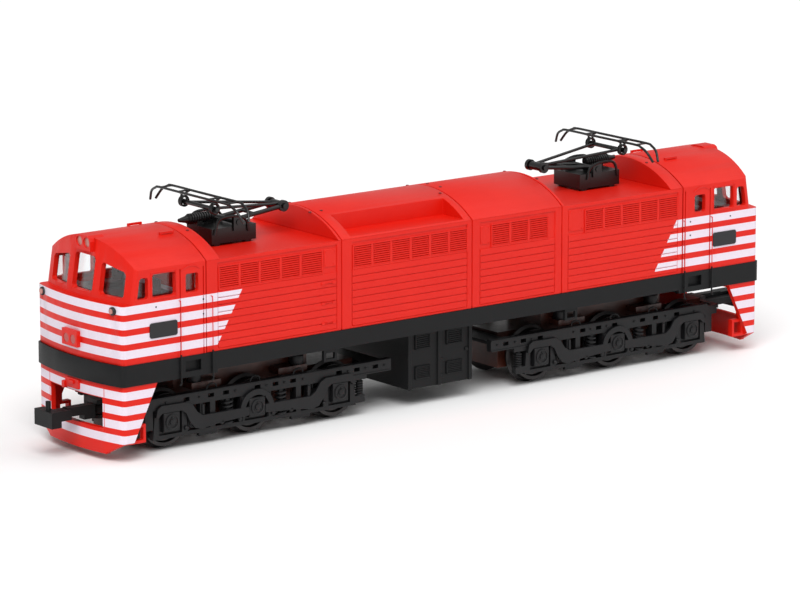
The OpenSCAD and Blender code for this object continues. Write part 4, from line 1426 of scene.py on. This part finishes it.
@dataclass
class Pantograph:
    """Pipes, return spring and collector of one pantograph, drawn at the +X end.

    Places on the collector count from the pin of the head. bar is half the gap between the
    bars, their height and where they start to bend; tip is the same for their tips. The
    return spring is given by the radius of its coil, the radius of its wire and its length.
    """

    end: int
    head: Span = (59.6, 50.8)
    bar: tuple[float, float, float] = (1.7, 2.4, 13.4)
    tip: tuple[float, float, float] = (0.75, -1.2, 17.9)
    bends: Line = ((0, 0, -0.6), (-0.05, -0.35, 1.1), (-0.3, -1.4, 3.0))
    bar_start: float = 4.0
    bar_radius: float = 0.3
    rings_y: Row = (5.55, 6.15)
    ring_radius: float = 1.1
    ring_rise: float = 0.1
    ring_wire: float = 0.25
    ring_steps: int = 24
    stems_y: float = 5.85
    stem: tuple[Span, ...] = ((-0.9, 0.6), (-0.6, 1.8))
    stem_radius: float = 0.28
    tie_inset: float = 0.8
    tie_radius: float = 0.22
    pin: Profile = ((0.62, -0.55), (0.62, 0.55))
    pipe_y: float = 4.95
    pipe: tuple[Span, ...] = ((49.6, 44.6), (50.2, 47.0), (52.2, 48.1), (55.0, 48.4), (57.8, 47.8),
                              (59.0, 44.6))
    pipe_radius: float = 0.34
    spring: Row = (1.05, 0.24, 6.6)
    spring_turns: int = 10
    spring_place: tuple[float, float, float] = (54.8, 2.0, 47.5)

    def horned_bar(self, side: int) -> Part:
        """One bar of the collector: straight across, bent down, the tips drawn together.

        Args:
            side: 1 for the outer bar, -1 for the inner one.

        Returns:
            The bar.
        """
        x, z = self.head
        gap, rise, reach = self.bar
        half = [(gap, rise, self.bar_start), *np.add(self.bar, self.bends), self.tip]
        line = [(x + side * a, -c, z + b) for a, b, c in reversed(half)]
        line += [(x + side * a, c, z + b) for a, b, c in half]
        return tube(smooth_path(line, steps=5), self.bar_radius, up=(1, 0, 0))

    def collector(self) -> list[Part]:
        """Two horned bars on ring springs, tied across.

        Returns:
            The surfaces of the head.
        """
        x, z = self.head
        gap, rise, reach = self.bar
        ring = circle(x, z + self.ring_rise, self.ring_radius, n=self.ring_steps)
        parts = [self.horned_bar(-1), self.horned_bar(1)]
        for s in (-1, 1):
            parts += [tube(Axis.Y.place(ring, s * y), self.ring_wire, sides=6, up=ACROSS,
                           loop=True) for y in self.rings_y]
            y = s * self.stems_y
            foot = [(x + a, y, z + b) for a, b in self.stem]
            stem = smooth_path([*foot, (x - gap, y, z + rise)], steps=4)
            other = stem * [-1, 1, 1] + [2 * x, 0, 0]
            parts += [tube(line, self.stem_radius, sides=6, up=ACROSS) for line in (stem, other)]
            for at in (y, s * (reach - self.tie_inset)):
                tie = [(x - gap, at, z + rise), (x + gap, at, z + rise)]
                parts.append(tube(tie, self.tie_radius, sides=6))
            parts.append(lathe(self.pin, Axis.Y, (x, y, z), n=16))
        return parts

    def base(self) -> list[Part]:
        """The two pipes over the base and the return spring.

        Returns:
            Their surfaces.
        """
        line = smooth_path([(x, -self.pipe_y, z) for x, z in self.pipe])
        pipes = [tube(line * [1, s, 1], self.pipe_radius, up=ACROSS) for s in (1, -1)]
        spring = coil((0, 0, 0), *self.spring, self.spring_turns)
        return pipes + [spring.turned(1, 90).moved(*self.spring_place)]

    def build(self) -> None:
        """Makes the pipes with the return spring, and the collector."""
        name = "panto_a" if self.end < 0 else "panto_b"
        head = f"{name}_head"
        for kind, parts, body, hidden in (("pipes", self.base(), "body", ()),
                                          ("collector", self.collector(), head, (head,))):
            placed = [p.mirrored(0) for p in parts] if self.end < 0 else parts
            piece(f"{name}_{kind}", placed, Finishes.WIRE, body, hidden)


def toward(azimuth: float, elevation: float) -> Vector:
    """The direction out to a place round the model.

    Args:
        azimuth: degrees from -Y towards +X.
        elevation: degrees above the floor.

    Returns:
        A vector of length 1.
    """
    a, e = math.radians(azimuth), math.radians(elevation)
    return Vector((math.sin(a) * math.cos(e), -math.cos(a) * math.cos(e), math.sin(e)))


@dataclass
class Studio:
    """Floor, lamps, world and camera.

    The suns are given by azimuth, elevation, strength and width in degrees. sky is the light
    that the world gives, and glint is how bright it shows in reflections.
    """

    azimuth: float = -37.951
    elevation: float = 12.137
    target: tuple[float, float, float] = (-2.286, 0.0, 22.376)
    distance: float = 1096.9
    lens: float = 213.04
    sensor: float = 36.0
    shift: float = -0.0019
    clip: Span = (0.05, 20.0)
    sky: float = 0.36
    glint: float = 0.5
    suns: tuple[Row, ...] = ((-40, 50, 2.3, 40), (60, 55, 0.7, 60))
    floor_half: float = 4.0
    white: float = 0.97

    def floor(self) -> None:
        """A wide white plane just under the wheels."""
        mesh = bpy.data.meshes.new("studio_floor")
        s = self.floor_half
        mesh.from_pydata([(-s, -s, 0), (s, -s, 0), (s, s, 0), (-s, s, 0)], [], [(0, 1, 2, 3)])
        material = bpy.data.materials.new("studio_white")
        white = (self.white, self.white, self.white, 1)
        Graph(material).finish({"Base Color": white, "Roughness": 0.9, "Specular IOR Level": 0.1})
        mesh.materials.append(material)
        stand("studio_floor", mesh)

    def lamps(self) -> None:
        """Soft suns and a white world."""
        for i, (azimuth, elevation, strength, width) in enumerate(self.suns):
            data = bpy.data.lights.new(f"studio_sun_{i}", "SUN")
            data.energy, data.angle = strength, math.radians(width)
            back = toward(azimuth, elevation)
            stand(data.name, data).rotation_euler = back.to_track_quat("Z", "Y").to_euler()
        world = bpy.data.worlds.new("studio_world")
        bpy.context.scene.world = world
        g = Graph(world)
        rays = g.node("ShaderNodeLightPath").outputs
        seen = Value(g, rays["Is Camera Ray"]).most(Value(g, rays["Is Transmission Ray"]))
        glint = Value(g, rays["Is Glossy Ray"])
        strength = seen * (1 - self.sky) + glint * (self.glint - self.sky) + self.sky
        inputs = {"Color": (1, 1, 1, 1), "Strength": strength}
        back = g.node("ShaderNodeBackground", inputs=inputs)
        g.node("ShaderNodeOutputWorld", inputs={"Surface": back.outputs[0]})

    def camera(self) -> None:
        """The camera, placed on its view line from the target."""
        data = bpy.data.cameras.new("studio_camera")
        data.lens, data.sensor_width, data.shift_x = self.lens, self.sensor, self.shift
        data.clip_start, data.clip_end = self.clip
        back = toward(self.azimuth, self.elevation)
        made = stand("studio_camera", data)
        made.location = (Vector(self.target) + back * self.distance) * MM
        made.rotation_mode = "QUATERNION"
        made.rotation_quaternion = (-back).to_track_quat("-Z", "Y")
        bpy.context.scene.camera = made

    def build(self) -> None:
        """Sets the stage."""
        self.floor()
        self.lamps()
        self.camera()
        bpy.context.scene.view_settings.view_transform = "Standard"


def main() -> None:
    """Builds the model's looks in order."""
    logging.basicConfig(level=logging.INFO, format="%(name)s %(message)s")
    Studio().build()
    CarriedNodes().dress()
    Hood().build()
    Roof().build()
    Cab().build()
    EquipmentBox().build()
    for end in (-1, 1):
        Bogie(end).build()
        Pantograph(end).build()


if __name__ == "__main__":
    main()
